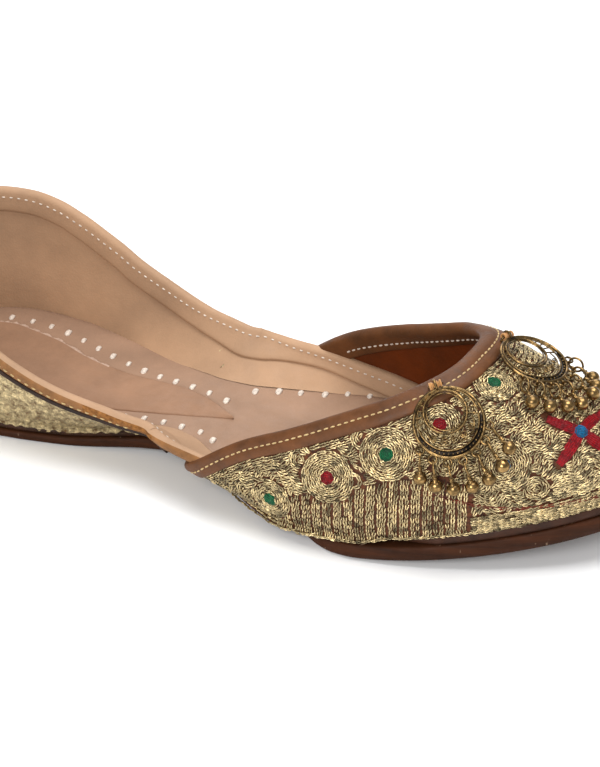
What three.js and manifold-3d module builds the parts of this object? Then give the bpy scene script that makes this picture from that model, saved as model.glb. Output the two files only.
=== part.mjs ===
// A flat right-foot mojari shoe: heel toward -X, toe toward +X, floor at Z = 0, millimetres.
import * as THREE from "three";
import { mergeVertices } from "three/addons/utils/BufferGeometryUtils.js";
import Module from "manifold-3d";

const wasm = await Module();
wasm.setup();

// Sole. Stations run forward along the sole from the back of the heel.
const SOLE_LENGTH = 258;
const HEEL_STATION = 38;
const BALL_STATION = 165;
const HEEL_HALF_WIDTH = 33;
const BALL_HALF_WIDTH = 39.5;
const TOE_TAPER = 1.5;
const TOE_ROUND = 0.55;
const TOE_SWING = 11;
const SWING_STATION = 170;
const TOE_SPRING = 15;
const SPRING_STATION = 172;
const SPRING_POWER = 1.7;
const ARCH_LIFT = 2.6;
const ARCH_START = 74;
const ARCH_END = 144;
const OUTSOLE_HEEL = 2.8;
const OUTSOLE_BALL = 4.6;
const OUTSOLE_TOE = 5.6;
const MIDSOLE = 1.7;
const MIDSOLE_TOE = 2.8;
const MIDSOLE_INSET = 1;

// Layers of the upper, measured inward from the outside of the vamp.
const VAMP_WALL = 1.6;
const QUARTER_OUT = 1.5;
const QUARTER_WALL = 1.4;
const BINDING = 0.9;
const GAP = 0.3;
const THROAT_BINDING_WIDTH = 8.6;
const THROAT_OUTER_LAP = 5.9;
const COLLAR_BINDING_WIDTH = 8.2;
const COLLAR_OUTER_LAP = 4;
const PIPING = 1.5;
const QUARTER_FRONT = 173;

// Insole and heel pad.
const INSOLE = 2.2;
const INSOLE_REACH = 0.2;
const PAD = 1;
const PAD_TIP = 122;
const PAD_SHIFT = -2;

// Brass ornaments, laid out flat: +Y of each toward the sewn staple, +Z away from the vamp.
const HOOP_RADIUS = 10.2;
const HOOP_WIRE = 0.7;
const RING_RADIUS = 6.3;
const RING_WIRE = 0.55;
const RING_RISE = 3.3;
const CRESCENT = 0.8;
const CRESCENT_TOP = -0.6;
const BAIL_RADIUS = 1.4;
const BAIL_WIRE = 0.4;
const STAPLE_WIRE = 0.4;
const STAPLE_SPAN = 4.6;
const EYELET_RADIUS = 1.2;
const EYELET_WIRE = 0.35;
const EYELET_ORBIT = HOOP_RADIUS + EYELET_RADIUS + 0.25;
const LINK_RADIUS = 2.2;
const LINK_WIRE = 0.35;
const LINK_HANG = 1.4;
const NECK = 2.4;
const BALL_RADIUS = 2.2;
const DROP_REST = 0.8;
const DROP_SPREAD = 0.3;
const DROP_ANGLES = [-66, -44, -22, 0, 22, 44, 66];

// Where each ornament's hoop centre and staple stand on the vamp, in plan.
const ORNAMENTS = [
  { name: "near", station: 205.8, side: -22, towardStation: 199, towardSide: -16.8, lift: 2.2 },
  { name: "far", station: 215.9, side: 11.1, towardStation: 205.4, towardSide: 14.6, lift: 3.2 },
];

// Half-width of the heel pad.
const PAD_OUTLINE = [
  { station: 30, half: 20.6 },
  { station: 46, half: 18.4 },
  { station: 60, half: 14 },
  { station: 74, half: 11.2 },
  { station: 88, half: 9.8 },
  { station: 100, half: 8.2 },
  { station: 110, half: 5.4 },
  { station: 122, half: 0 },
];

// Half-width of the sole between the round of the heel and the ball.
const OUTLINE = [
  { station: 38, half: 33 },
  { station: 47, half: 32.9 },
  { station: 56, half: 31.6 },
  { station: 66, half: 29.2 },
  { station: 75, half: 26.6 },
  { station: 84, half: 23.6 },
  { station: 92, half: 21 },
  { station: 101, half: 18.6 },
  { station: 108, half: 17.5 },
  { station: 116, half: 18.6 },
  { station: 124, half: 22.3 },
  { station: 131, half: 26.4 },
  { station: 138, half: 30.4 },
  { station: 150, half: 36.2 },
  { station: 158, half: 38.7 },
  { station: 165, half: 39.5 },
];

// Near edge of the two soles, drawn in under the upper past the waist, and the upper's drop beside them.
const NEAR_EDGE = [
  { station: 108, outsole: 0, midsole: 0, drop: 0 },
  { station: 116, outsole: 1.4, midsole: 3.4, drop: 0 },
  { station: 125, outsole: 4, midsole: 7, drop: 2 },
  { station: 134, outsole: 7, midsole: 9.5, drop: 2 },
  { station: 146, outsole: 10, midsole: 12, drop: 2.4 },
  { station: 157, outsole: 10, midsole: 12, drop: 3.1 },
  { station: 165, outsole: 6, midsole: 9, drop: 2.3 },
  { station: 170, outsole: 3.2, midsole: 6.6, drop: 2 },
  { station: 176, outsole: 1, midsole: 5, drop: 2 },
  { station: 184, outsole: 0, midsole: 4.2, drop: 1.6 },
  { station: 193, outsole: 0, midsole: 3.2, drop: 0 },
  { station: 206, outsole: 0, midsole: 0, drop: 0 },
];

// Wall of the last. ledge: base inside the sole edge. spread: outward to the widest level. rise: height of
// that level over the sole. tuck: how fast it spreads. ridge: height of the top line. crown: its roundness.
const WALL = [
  { station: 0, ledge: -0.7, spread: 4.5, rise: 49, tuck: 1.2, ridge: 74, crown: 2 },
  { station: 30, ledge: -0.7, spread: 5.2, rise: 48, tuck: 1.3, ridge: 74, crown: 2 },
  { station: 47, ledge: -0.7, spread: 6.2, rise: 41, tuck: 1.4, ridge: 68, crown: 2 },
  { station: 60, ledge: -0.6, spread: 8.7, rise: 33.5, tuck: 1.5, ridge: 60, crown: 2 },
  { station: 73, ledge: -0.5, spread: 11.7, rise: 27, tuck: 1.7, ridge: 54, crown: 2 },
  { station: 87, ledge: -0.3, spread: 14.8, rise: 22, tuck: 1.9, ridge: 48, crown: 1.9 },
  { station: 101, ledge: 0, spread: 18.2, rise: 18.5, tuck: 2.1, ridge: 43, crown: 1.8 },
  { station: 116, ledge: 0.5, spread: 19, rise: 15, tuck: 2.2, ridge: 41, crown: 1.7 },
  { station: 124, ledge: 0.8, spread: 17.2, rise: 13, tuck: 2.2, ridge: 42, crown: 1.7 },
  { station: 131, ledge: 1, spread: 13.8, rise: 12, tuck: 2.2, ridge: 44, crown: 1.7 },
  { station: 138, ledge: 1.3, spread: 10.4, rise: 11.5, tuck: 2.2, ridge: 47, crown: 1.8 },
  { station: 150, ledge: 1.7, spread: 4.9, rise: 11, tuck: 2.1, ridge: 50.7, crown: 2 },
  { station: 157, ledge: 1.9, spread: 3.3, rise: 11, tuck: 2, ridge: 52.4, crown: 2 },
  { station: 168, ledge: 2, spread: 2.4, rise: 10.5, tuck: 2, ridge: 53.6, crown: 2.1 },
  { station: 179, ledge: 2, spread: 2.1, rise: 10, tuck: 2, ridge: 54.9, crown: 2.3 },
  { station: 189, ledge: 2, spread: 1.8, rise: 9.5, tuck: 2, ridge: 56.4, crown: 2.5 },
  { station: 198, ledge: 2, spread: 1.6, rise: 9, tuck: 2, ridge: 57, crown: 2.5 },
  { station: 209, ledge: 2, spread: 1.5, rise: 8.5, tuck: 2, ridge: 53, crown: 2.6 },
  { station: 222, ledge: 2, spread: 1.3, rise: 8, tuck: 2, ridge: 48.6, crown: 2.6 },
  { station: 235, ledge: 2, spread: 1.2, rise: 7.5, tuck: 2, ridge: 44, crown: 2.5 },
  { station: 258, ledge: 2, spread: 0.9, rise: 6.5, tuck: 2, ridge: 34, crown: 2.4 },
];

// Side views of the two bound edges, as station and height.
const COLLAR_EDGE = [
  { station: -30, height: 50.6 },
  { station: -8, height: 50.4 },
  { station: 14, height: 49.8 },
  { station: 25, height: 48.8 },
  { station: 36, height: 46.2 },
  { station: 43, height: 43.4 },
  { station: 50, height: 40  },
  { station: 57, height: 36.6 },
  { station: 65, height: 32.4 },
  { station: 73, height: 29.2 },
  { station: 87, height: 25.1 },
  { station: 101, height: 22.4 },
  { station: 116, height: 20.8 },
  { station: 134, height: 19.8 },
  { station: 148, height: 17.8 },
  { station: 162, height: 15.6 },
  { station: 186, height: 12 },
];
const VAMP_EDGE = [
  { station: 118, height: -20 },
  { station: 119.5, height: 5 },
  { station: 123, height: 13 },
  { station: 131, height: 20 },
  { station: 138, height: 25.4 },
  { station: 144, height: 29.4 },
  { station: 150.5, height: 32.9 },
  { station: 157, height: 36 },
  { station: 168, height: 41.4 },
  { station: 179, height: 46.8 },
  { station: 189, height: 51.6 },
  { station: 197, height: 55.4 },
  { station: 203, height: 58.2 },
  { station: 240, height: 76 },
  { station: 300, height: 105 },
];

const STATIONS = 44;
const FOOT_ROWS = 4;
const ARCH_ROWS = 9;
const LAST_DEPTH = 10;
const SIDE_REACH = 70;
const NEAR_LIMIT = -6;
const FACET = 0.06;

const COLOURS = {
  sole: 0x4d3020,
  midsole: 0x6b4226,
  gold: 0xc9bb8a,
  brown: 0x5e3a22,
  tan: 0xb98d6f,
  piping: 0x2e1a10,
  pad: 0xb9876a,
  brass: 0x8a6a35,
};

const clamp = (x, low, high) => Math.min(high, Math.max(low, x));

// Monotone cubic through the rows of a table, in the named column.
function follow(rows, column, x, key = "station") {
  const last = rows.length - 1;
  const at = clamp(x, rows[0][key], rows[last][key]);
  let i = 0;
  while (i < last - 1 && at > rows[i + 1][key]) i += 1;
  const slope = (k) => (rows[k + 1][column] - rows[k][column]) / (rows[k + 1][key] - rows[k][key]);
  const tangent = (k) => {
    if (k === 0) return slope(0);
    if (k === last) return slope(last - 1);
    const a = slope(k - 1);
    const b = slope(k);
    return a * b <= 0 ? 0 : (2 * a * b) / (a + b);
  };
  const h = rows[i + 1][key] - rows[i][key];
  const t = (at - rows[i][key]) / h;
  const t2 = t * t;
  const t3 = t2 * t;
  const ends = rows[i][column] * (2 * t3 - 3 * t2 + 1) + rows[i + 1][column] * (3 * t2 - 2 * t3);
  return ends + h * (tangent(i) * (t3 - 2 * t2 + t) + tangent(i + 1) * (t3 - t2));
}

const wall = (column, station) => follow(WALL, column, station);

function soleHalfWidth(station) {
  if (station <= HEEL_STATION) {
    const back = 1 - clamp(station, 0, HEEL_STATION) / HEEL_STATION;
    return HEEL_HALF_WIDTH * Math.sqrt(1 - back * back);
  }
  if (station < BALL_STATION) return follow(OUTLINE, "half", station);
  const ahead = clamp((station - BALL_STATION) / (SOLE_LENGTH - BALL_STATION), 0, 1);
  return BALL_HALF_WIDTH * (1 - ahead ** TOE_TAPER) ** TOE_ROUND;
}

// Station for a share of the way round one side, closer together at the heel and the toe.
function stationAt(share) {
  const toe = 208;
  if (share < 0.18) return HEEL_STATION * (1 - Math.cos((Math.PI / 2) * (share / 0.18)));
  if (share < 0.78) return HEEL_STATION + (toe - HEEL_STATION) * ((share - 0.18) / 0.6);
  return toe + (SOLE_LENGTH - toe) * Math.sin((Math.PI / 2) * ((share - 0.78) / 0.22));
}

// Sideways swing of the toe toward +Y.
function swing(station) {
  const ahead = clamp((station - SWING_STATION) / (SOLE_LENGTH - SWING_STATION), 0, 1);
  return TOE_SWING * ahead * ahead * (1.6 - 0.6 * ahead);
}

// Plan point of the sole outline drawn in by an inset, on the +Y side.
function planPoint(share, inset) {
  const station = stationAt(share);
  const half = soleHalfWidth(station);
  const back = inset * Math.max(0, 1 - station / 90);
  const front = 1.7 * inset * clamp((station - 150) / (SOLE_LENGTH - 150), 0, 1) ** 2;
  let y = half - inset;
  if (station < HEEL_STATION) y = half * (1 - inset / HEEL_HALF_WIDTH);
  if (station > BALL_STATION) y = half * (1 - inset / BALL_HALF_WIDTH);
  return new THREE.Vector2(station + back - front, y);
}

function planFrame(share, inset) {
  const step = 0.002;
  const at = (s, sign) => {
    const p = planPoint(s, inset(stationAt(s)));
    return new THREE.Vector2(p.x, sign * p.y);
  };
  const before = share < step ? at(step - share, -1) : at(share - step, 1);
  const after = share > 1 - step ? at(2 - share - step, -1) : at(share + step, 1);
  const along = after.sub(before).normalize();
  return { point: at(share, 1), out: new THREE.Vector2(-along.y, along.x) };
}

function soleBottom(station) {
  const arch = clamp((station - ARCH_START) / (ARCH_END - ARCH_START), 0, 1);
  const toe = clamp((station - SPRING_STATION) / (SOLE_LENGTH - SPRING_STATION), 0, 1);
  return ARCH_LIFT * Math.sin(Math.PI * arch) ** 2 + TOE_SPRING * toe ** SPRING_POWER;
}

function eased(station, from, to) {
  const share = clamp((station - from) / (to - from), 0, 1);
  return share * share * (3 - 2 * share);
}

function outsoleTop(station) {
  const ball = (OUTSOLE_BALL - OUTSOLE_HEEL) * eased(station, 50, 130);
  const toe = (OUTSOLE_TOE - OUTSOLE_BALL) * eased(station, 170, 240);
  return soleBottom(station) + OUTSOLE_HEEL + ball + toe;
}

function midsoleTop(station) {
  return outsoleTop(station) + GAP + MIDSOLE + (MIDSOLE_TOE - MIDSOLE) * eased(station, 170, 240);
}

const insoleTop = (station) => midsoleTop(station) + GAP + INSOLE;

// Point of the last on the +Y side. climb runs from below the base (-1) through the widest level (1) to the
// ridge (2).
function lastPoint(share, climb) {
  const station = stationAt(share);
  const { point, out } = planFrame(share, (s) => wall("ledge", s));
  const base = midsoleTop(point.x);
  const rise = wall("rise", station);
  const spread = wall("spread", station);
  const foot = clamp(climb, 0, 1);
  const away = spread * (1 - (1 - foot) ** wall("tuck", station));
  const side = point.clone().addScaledVector(out, away);
  const height = base + rise * foot + (climb < 0 ? LAST_DEPTH * climb : 0);
  const turn = (Math.PI / 2) * clamp(climb - 1, 0, 1);
  const power = 2 / wall("crown", station);
  const heel = Math.max(0, 44 - station) * 0.55;
  const toe = Math.max(0, station - 196) * 0.3;
  const spine = station + heel - toe;
  const inward = 1 - Math.max(0, Math.cos(turn)) ** power;
  const up = Math.sin(turn) ** power;
  const top = wall("ridge", spine);
  return new THREE.Vector3(
    side.x + (spine - side.x) * inward,
    side.y * (1 - inward),
    height + (top - height) * up,
  );
}

// Closed surface from columns of points on the +Y side, mirrored to -Y and drawn in there by a tuck. Each
// column runs from low to high.
function mirroredSkin(columns, tuck = () => 0) {
  const rows = columns[0].length;
  const points = [];
  const faces = [];
  const index = (side, i, j) => (side * columns.length + i) * rows + j;
  for (const sign of [1, -1]) {
    for (const column of columns) {
      for (const p of column) {
        const y = sign > 0 ? p.y : tuck(p.x) - p.y;
        points.push(p.x, y + swing(p.x), p.z);
      }
    }
  }
  const quad = (a, b, c, d) => faces.push(a, b, c, a, c, d);
  for (let i = 0; i + 1 < columns.length; i += 1) {
    for (let j = 0; j + 1 < rows; j += 1) {
      quad(index(0, i, j), index(0, i, j + 1), index(0, i + 1, j + 1), index(0, i + 1, j));
      quad(index(1, i, j), index(1, i + 1, j), index(1, i + 1, j + 1), index(1, i, j + 1));
    }
    quad(index(0, i, 0), index(0, i + 1, 0), index(1, i + 1, 0), index(1, i, 0));
    const top = rows - 1;
    quad(index(0, i, top), index(1, i, top), index(1, i + 1, top), index(0, i + 1, top));
  }
  const skin = new THREE.BufferGeometry();
  skin.setAttribute("position", new THREE.Float32BufferAttribute(points, 3));
  skin.setIndex(faces);
  return closed(skin);
}

// Merges a skin's shared points and leaves out the faces that have no area.
function closed(skin) {
  const bare = new THREE.BufferGeometry();
  bare.setAttribute("position", skin.getAttribute("position"));
  bare.setIndex(skin.index);
  const merged = mergeVertices(bare, 1e-3);
  const kept = [];
  const all = merged.index.array;
  for (let i = 0; i < all.length; i += 3) {
    const [a, b, c] = [all[i], all[i + 1], all[i + 2]];
    if (a !== b && b !== c && c !== a) kept.push(a, b, c);
  }
  merged.setIndex(kept);
  return merged;
}

function solidOf(skin) {
  const whole = closed(skin);
  return new wasm.Manifold(
    new wasm.Mesh({
      numProp: 3,
      vertProperties: new Float32Array(whole.getAttribute("position").array),
      triVerts: new Uint32Array(whole.index.array),
    }),
  );
}

const shares = (count) => Array.from({ length: count + 1 }, (_, i) => i / count);

const LAST_SKIN = mirroredSkin(
  shares(STATIONS).map((share) => {
    const climbs = [-1];
    for (let j = 0; j < FOOT_ROWS; j += 1) climbs.push(j / FOOT_ROWS);
    for (let j = 0; j <= ARCH_ROWS; j += 1) climbs.push(1 + j / ARCH_ROWS);
    return climbs.map((climb) => lastPoint(share, climb));
  }),
);
LAST_SKIN.computeVertexNormals();

// The last drawn out (+) or in (-) along its own normals.
function last(offset) {
  const skin = LAST_SKIN.clone();
  const at = skin.getAttribute("position");
  const normal = skin.getAttribute("normal");
  for (let i = 0; i < at.count; i += 1) {
    const p = new THREE.Vector3().fromBufferAttribute(at, i);
    p.addScaledVector(new THREE.Vector3().fromBufferAttribute(normal, i), offset);
    at.setXYZ(i, p.x, p.y, p.z);
  }
  return solidOf(skin);
}

// Plate that follows the sole: levels give the inset and height function of each edge line, low to high.
function plate(levels, tuck) {
  const columns = shares(STATIONS).map((share) =>
    levels.map(({ inset, height }) => {
      const station = stationAt(share);
      const p = planPoint(share, typeof inset === "function" ? inset(station) : inset);
      return new THREE.Vector3(p.x, p.y, height(p.x));
    }),
  );
  return solidOf(mirroredSkin(columns, tuck));
}

// Side-view outline pushed through the shoe from its near side to a far limit.
function sideBlock(outline, far = SIDE_REACH) {
  const shape = new THREE.Shape(outline.map(([station, height]) => new THREE.Vector2(station, height)));
  const block = new THREE.ExtrudeGeometry(shape, { depth: SIDE_REACH + far, bevelEnabled: false });
  block.rotateX(Math.PI / 2);
  block.translate(0, far, 0);
  return solidOf(indexed(block));
}

function indexed(skin) {
  const bare = new THREE.BufferGeometry();
  bare.setAttribute("position", skin.getAttribute("position"));
  if (skin.index) bare.setIndex(skin.index);
  return mergeVertices(bare, 1e-4);
}

// Points along a table's curve, moved sideways by a distance: + is to the left of its direction.
function edgeLine(rows, from, to, count, shift = 0) {
  const at = (k) => {
    const s = from + ((to - from) * k) / count;
    return new THREE.Vector2(s, follow(rows, "height", s));
  };
  const line = [];
  for (let k = 0; k <= count; k += 1) {
    const along = at(k + 0.1).sub(at(k - 0.1)).normalize();
    const p = at(k);
    line.push([p.x - along.y * shift, p.y + along.x * shift]);
  }
  return line;
}

const fold = GAP + BINDING;
const collarLine = (shift) => edgeLine(COLLAR_EDGE, -26, 184, 50, shift - fold);
const vampLine = (shift) => edgeLine(VAMP_EDGE, 118.2, 244, 46, shift - fold);

function belowCollar(shift, front) {
  const edge = collarLine(shift).filter(([s]) => s < front);
  const rest = [[front, 10], [front, -30], [-60, -30], [-60, edge[0][1]]];
  return sideBlock([...edge, ...rest].reverse());
}
const aheadOfVampEdge = (shift) => sideBlock([...vampLine(shift), [320, 110], [320, -30]].reverse());

function under(level) {
  const line = [];
  for (let s = -40; s <= 320; s += 6) line.push([s, level(clamp(s, 0, SOLE_LENGTH)) + GAP]);
  return sideBlock([[-40, -40], [320, -40], ...line.reverse()]);
}

// Room above the upper's lower edge where it drops beside the soles, on the near side.
function besideSoles() {
  const line = [];
  for (let s = NEAR_EDGE[0].station; s <= NEAR_EDGE[NEAR_EDGE.length - 1].station; s += 3.5) {
    line.push([s, midsoleTop(s) + GAP - follow(NEAR_EDGE, "drop", s)]);
  }
  const from = line[0][0];
  const to = line[line.length - 1][0];
  return sideBlock([...line, [to, 90], [from, 90]], NEAR_LIMIT);
}

const belowUpper = under(midsoleTop).subtract(besideSoles());
const belowLining = under(insoleTop);
const vampShell = (out, inside, grow) => last(out).subtract(last(inside)).intersect(aheadOfVampEdge(grow));
const quarterShell = (out, inside, grow) =>
  last(out).subtract(last(inside)).intersect(belowCollar(grow, QUARTER_FRONT + grow));

const vampInside = -VAMP_WALL;
const quarterInside = -QUARTER_OUT - QUARTER_WALL;
const upper = vampShell(0, vampInside, 0)
  .add(quarterShell(-QUARTER_OUT, quarterInside, 0))
  .subtract(belowUpper);

const outsole = plate(
  [
    { inset: 1.1, height: soleBottom },
    { inset: 0.2, height: (s) => soleBottom(s) + 0.7 },
    { inset: 0, height: (s) => soleBottom(s) + 0.5 * (outsoleTop(s) - soleBottom(s)) },
    { inset: 0.3, height: (s) => outsoleTop(s) - 0.4 },
    { inset: 0.8, height: outsoleTop },
  ],
  (s) => follow(NEAR_EDGE, "outsole", s),
);
const midsole = plate(
  [
    { inset: MIDSOLE_INSET + 0.3, height: (s) => outsoleTop(s) + GAP },
    { inset: MIDSOLE_INSET, height: (s) => outsoleTop(s) + GAP + 0.6 },
    { inset: MIDSOLE_INSET + 0.5, height: midsoleTop },
  ],
  (s) => follow(NEAR_EDGE, "midsole", s),
);

// Strips along the two open edges, from a distance past the edge to a distance inside it.
const strip = (line, past, inside) => sideBlock([...line(past), ...line(-inside).reverse()].reverse());
const mainBody = (solid) => solid.decompose().sort((a, b) => b.volume() - a.volume())[0];
const between = (outer, inner) => last(outer).subtract(last(inner));

const vampRoom = between(GAP, vampInside - GAP).intersect(aheadOfVampEdge(GAP));
const quarterRoom = between(-QUARTER_OUT + GAP, quarterInside - GAP).intersect(
  belowCollar(GAP, QUARTER_FRONT + GAP),
);
const collarRoom = last(-QUARTER_OUT + fold + GAP).intersect(belowCollar(fold + GAP, QUARTER_FRONT + fold));

function insoleInset(station) {
  const flare = Math.min(1, wall("spread", station) / 18);
  return wall("ledge", station) - quarterInside + 0.5 - INSOLE_REACH * flare;
}
const insole = plate([
  { inset: insoleInset, height: (s) => midsoleTop(s) + GAP },
  { inset: insoleInset, height: insoleTop },
]);

// Room outside a wall, further from its edge than the binding's outer lap.
const pastLap = (outer, line, lap) =>
  between(outer + 1, outer - fold - GAP / 2).intersect(strip(line, -lap, lap + 8));

const throatBinding = mainBody(
  between(fold, vampInside - fold)
    .intersect(strip(vampLine, fold, THROAT_BINDING_WIDTH))
    .subtract(pastLap(fold, vampLine, THROAT_OUTER_LAP))
    .subtract(vampRoom)
    .subtract(collarRoom)
    .subtract(belowUpper),
);
const collarBinding = mainBody(
  between(-QUARTER_OUT + fold, quarterInside - fold)
    .intersect(strip(collarLine, fold, COLLAR_BINDING_WIDTH))
    .subtract(pastLap(fold - QUARTER_OUT, collarLine, COLLAR_OUTER_LAP))
    .intersect(belowCollar(4, QUARTER_FRONT))
    .subtract(quarterRoom)
    .subtract(vampRoom)
    .subtract(belowLining),
);
const collarPiping = mainBody(
  between(-QUARTER_OUT + GAP + 1.2, -QUARTER_OUT + GAP)
    .intersect(strip(collarLine, -COLLAR_OUTER_LAP - GAP, COLLAR_OUTER_LAP + GAP + PIPING))
    .subtract(aheadOfVampEdge(fold + GAP))
    .subtract(belowUpper),
);

// Heel pad: its own outline, laid on the insole.
function padColumns() {
  const columns = [];
  for (let k = 0; k <= 30; k += 1) {
    const share = k / 30;
    const back = 12;
    const round = 18;
    let station = back + round * (1 - Math.cos((Math.PI / 2) * Math.min(1, share / 0.3)));
    let half = PAD_OUTLINE[0].half * Math.sin((Math.PI / 2) * Math.min(1, share / 0.3));
    if (share > 0.3) {
      station = back + round + (PAD_TIP - back - round) * ((share - 0.3) / 0.7);
      half = follow(PAD_OUTLINE, "half", station);
    }
    const low = insoleTop(station) + GAP;
    columns.push([new THREE.Vector3(station, half, low), new THREE.Vector3(station, half, low + PAD)]);
  }
  return columns;
}
const heelPad = solidOf(mirroredSkin(padColumns())).translate([0, PAD_SHIFT, 0]);

// Points and normals of the vamp, found straight down and square to it.
const vampMesh = new THREE.Mesh(LAST_SKIN, new THREE.MeshBasicMaterial({ side: THREE.DoubleSide }));
function castOnVamp(from, direction) {
  const hits = new THREE.Raycaster(from, direction.clone().normalize()).intersectObject(vampMesh);
  return hits.length ? hits[0] : null;
}
const DOWN = new THREE.Vector3(0, 0, -1);
const onVamp = (station, side) => castOnVamp(new THREE.Vector3(station, side, 200), DOWN).point;

// Frame of an ornament: its X along the vamp edge, Y toward the staple, Z away from the vamp.
function ornamentFrame({ station, side, towardStation, towardSide, lift }) {
  const centre = onVamp(station, side);
  const reach = 4;
  const aheadOf = onVamp(station + reach, side).sub(onVamp(station - reach, side));
  const across = onVamp(station, side + reach).sub(onVamp(station, side - reach));
  const out = new THREE.Vector3().crossVectors(aheadOf, across).normalize();
  const up = onVamp(towardStation, towardSide).sub(centre);
  up.addScaledVector(out, -up.dot(out)).normalize();
  const along = new THREE.Vector3().crossVectors(up, out);
  const frame = new THREE.Matrix4().makeBasis(along, up, out);
  frame.setPosition(centre.addScaledVector(out, lift));
  return frame;
}

const torus = (radius, wire, sides, steps) => new THREE.TorusGeometry(radius, wire, sides, steps);
const joined = (skins) => skins.map((skin) => solidOf(indexed(skin))).reduce((a, b) => a.add(b));
const degrees = (angle) => (angle * Math.PI) / 180;

function crescentSkin() {
  const inner = RING_RADIUS - 0.1;
  const outerTurn = Math.asin(CRESCENT_TOP / HOOP_RADIUS);
  const innerTurn = Math.asin((CRESCENT_TOP - RING_RISE) / inner);
  const shape = new THREE.Shape();
  shape.absarc(0, 0, HOOP_RADIUS, Math.PI - outerTurn, 2 * Math.PI + outerTurn, false);
  shape.absarc(0, RING_RISE, inner, 2 * Math.PI + innerTurn, Math.PI - innerTurn, true);
  const skin = new THREE.ExtrudeGeometry(shape, { depth: CRESCENT, bevelEnabled: false, curveSegments: 12 });
  return skin.translate(0, 0, -CRESCENT / 2);
}

const eyeletAt = (angle) =>
  new THREE.Vector3(Math.sin(degrees(angle)), -Math.cos(degrees(angle)), 0).multiplyScalar(EYELET_ORBIT);

function hoopSolid() {
  const bail = torus(BAIL_RADIUS, BAIL_WIRE, 5, 10).rotateY(Math.PI / 2);
  return joined([
    torus(HOOP_RADIUS, HOOP_WIRE, 5, 26),
    torus(RING_RADIUS, RING_WIRE, 4, 18).translate(0, RING_RISE, 0),
    crescentSkin(),
    bail.translate(0, HOOP_RADIUS + BAIL_RADIUS, 0),
    ...DROP_ANGLES.map((angle) => {
      const at = eyeletAt(angle);
      return torus(EYELET_RADIUS, EYELET_WIRE, 3, 8).translate(at.x, at.y, at.z);
    }),
  ]);
}

function stapleSolid(frame) {
  const top = HOOP_RADIUS + BAIL_RADIUS;
  const inward = new THREE.Vector3().setFromMatrixColumn(frame, 2).negate();
  const pieces = [new THREE.CylinderGeometry(STAPLE_WIRE, STAPLE_WIRE, STAPLE_SPAN, 7).rotateZ(Math.PI / 2)];
  pieces[0].translate(0, top, 0);
  for (const end of [-1, 1]) {
    const x = (end * (STAPLE_SPAN - 2 * STAPLE_WIRE)) / 2;
    const hit = castOnVamp(new THREE.Vector3(x, top, 0).applyMatrix4(frame), inward);
    const depth = hit.distance - fold - GAP;
    const leg = new THREE.CylinderGeometry(STAPLE_WIRE * 0.9, STAPLE_WIRE * 0.9, depth, 7);
    leg.rotateX(Math.PI / 2);
    pieces.push(leg.translate(x, top, -depth / 2));
  }
  return joined(pieces);
}

// A drop in its own frame: it hangs down -Y from the wire of its eyelet at the origin.
function dropSolid() {
  const link = torus(LINK_RADIUS, LINK_WIRE, 3, 10).rotateY(Math.PI / 2).translate(0, -LINK_HANG, 0);
  const foot = LINK_HANG + LINK_RADIUS;
  const neck = new THREE.CylinderGeometry(0.6, 0.6, NECK + 0.6, 5).translate(0, -foot - NECK / 2, 0);
  const ball = new THREE.SphereGeometry(BALL_RADIUS, 8, 5).translate(0, -ballHang(), 0);
  return joined([link, neck, ball]);
}
const ballHang = () => LINK_HANG + LINK_RADIUS + NECK + BALL_RADIUS - 0.4;

const placedSolid = (solid, frame) => solid.transform(frame.elements);
const hoop = hoopSolid();
const drop = dropSolid();
const vampSkin = last(DROP_REST);

// Where a drop hangs on its hoop, tipped until its ball rests near the vamp.
function dropFrame(frame, angle) {
  const turn = degrees(angle * DROP_SPREAD);
  const away = new THREE.Vector3(Math.sin(turn), -Math.cos(turn), 0);
  const wire = eyeletAt(angle).addScaledVector(away, EYELET_RADIUS);
  let placed = null;
  for (let tip = -40; tip <= 50; tip += 2) {
    const local = new THREE.Matrix4().makeRotationZ(turn);
    local.multiply(new THREE.Matrix4().makeRotationX(degrees(tip)));
    local.setPosition(wire);
    const world = frame.clone().multiply(local);
    if (placed && !placedSolid(drop, world).intersect(vampSkin).isEmpty()) break;
    placed = world;
  }
  return placed;
}

const group = new THREE.Group();
group.name = "mojari_shoe";

function addPiece(name, solid, colour, metalness = 0) {
  const body = solid.simplify(metalness ? FACET / 2 : FACET).getMesh();
  const skin = new THREE.BufferGeometry();
  skin.setAttribute("position", new THREE.BufferAttribute(new Float32Array(body.vertProperties), 3));
  skin.setIndex(new THREE.BufferAttribute(new Uint32Array(body.triVerts), 1));
  const roughness = metalness ? 0.35 : 0.7;
  const look = new THREE.MeshStandardMaterial({ color: colour, roughness, metalness });
  const mesh = new THREE.Mesh(skin, look);
  mesh.name = name;
  group.add(mesh);
  return mesh;
}

addPiece("outsole", outsole, COLOURS.sole);
addPiece("midsole", midsole, COLOURS.midsole);
addPiece("insole", insole, COLOURS.tan);
addPiece("heel_pad", heelPad, COLOURS.pad);
addPiece("upper", upper, COLOURS.gold);
addPiece("throat_binding", throatBinding, COLOURS.brown);
addPiece("collar_binding", collarBinding, COLOURS.tan);
addPiece("collar_piping", collarPiping, COLOURS.piping);

for (const ornament of ORNAMENTS) {
  const frame = ornamentFrame(ornament);
  const name = `ornament_${ornament.name}`;
  addPiece(`${name}_staple`, placedSolid(stapleSolid(frame), frame), COLOURS.brass, 1);
  addPiece(`${name}_hoop`, placedSolid(hoop, frame), COLOURS.brass, 1);
  DROP_ANGLES.forEach((angle, k) => {
    const hung = dropFrame(frame, angle);
    addPiece(`${name}_drop_${k + 1}`, placedSolid(drop, hung), COLOURS.brass, 1);
  });
}

// The box of the whole shoe is centred over the origin.
const box = new THREE.Box3().setFromObject(group);
group.position.set(-(box.min.x + box.max.x) / 2, -(box.min.y + box.max.y) / 2, 0);

export default group;
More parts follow.
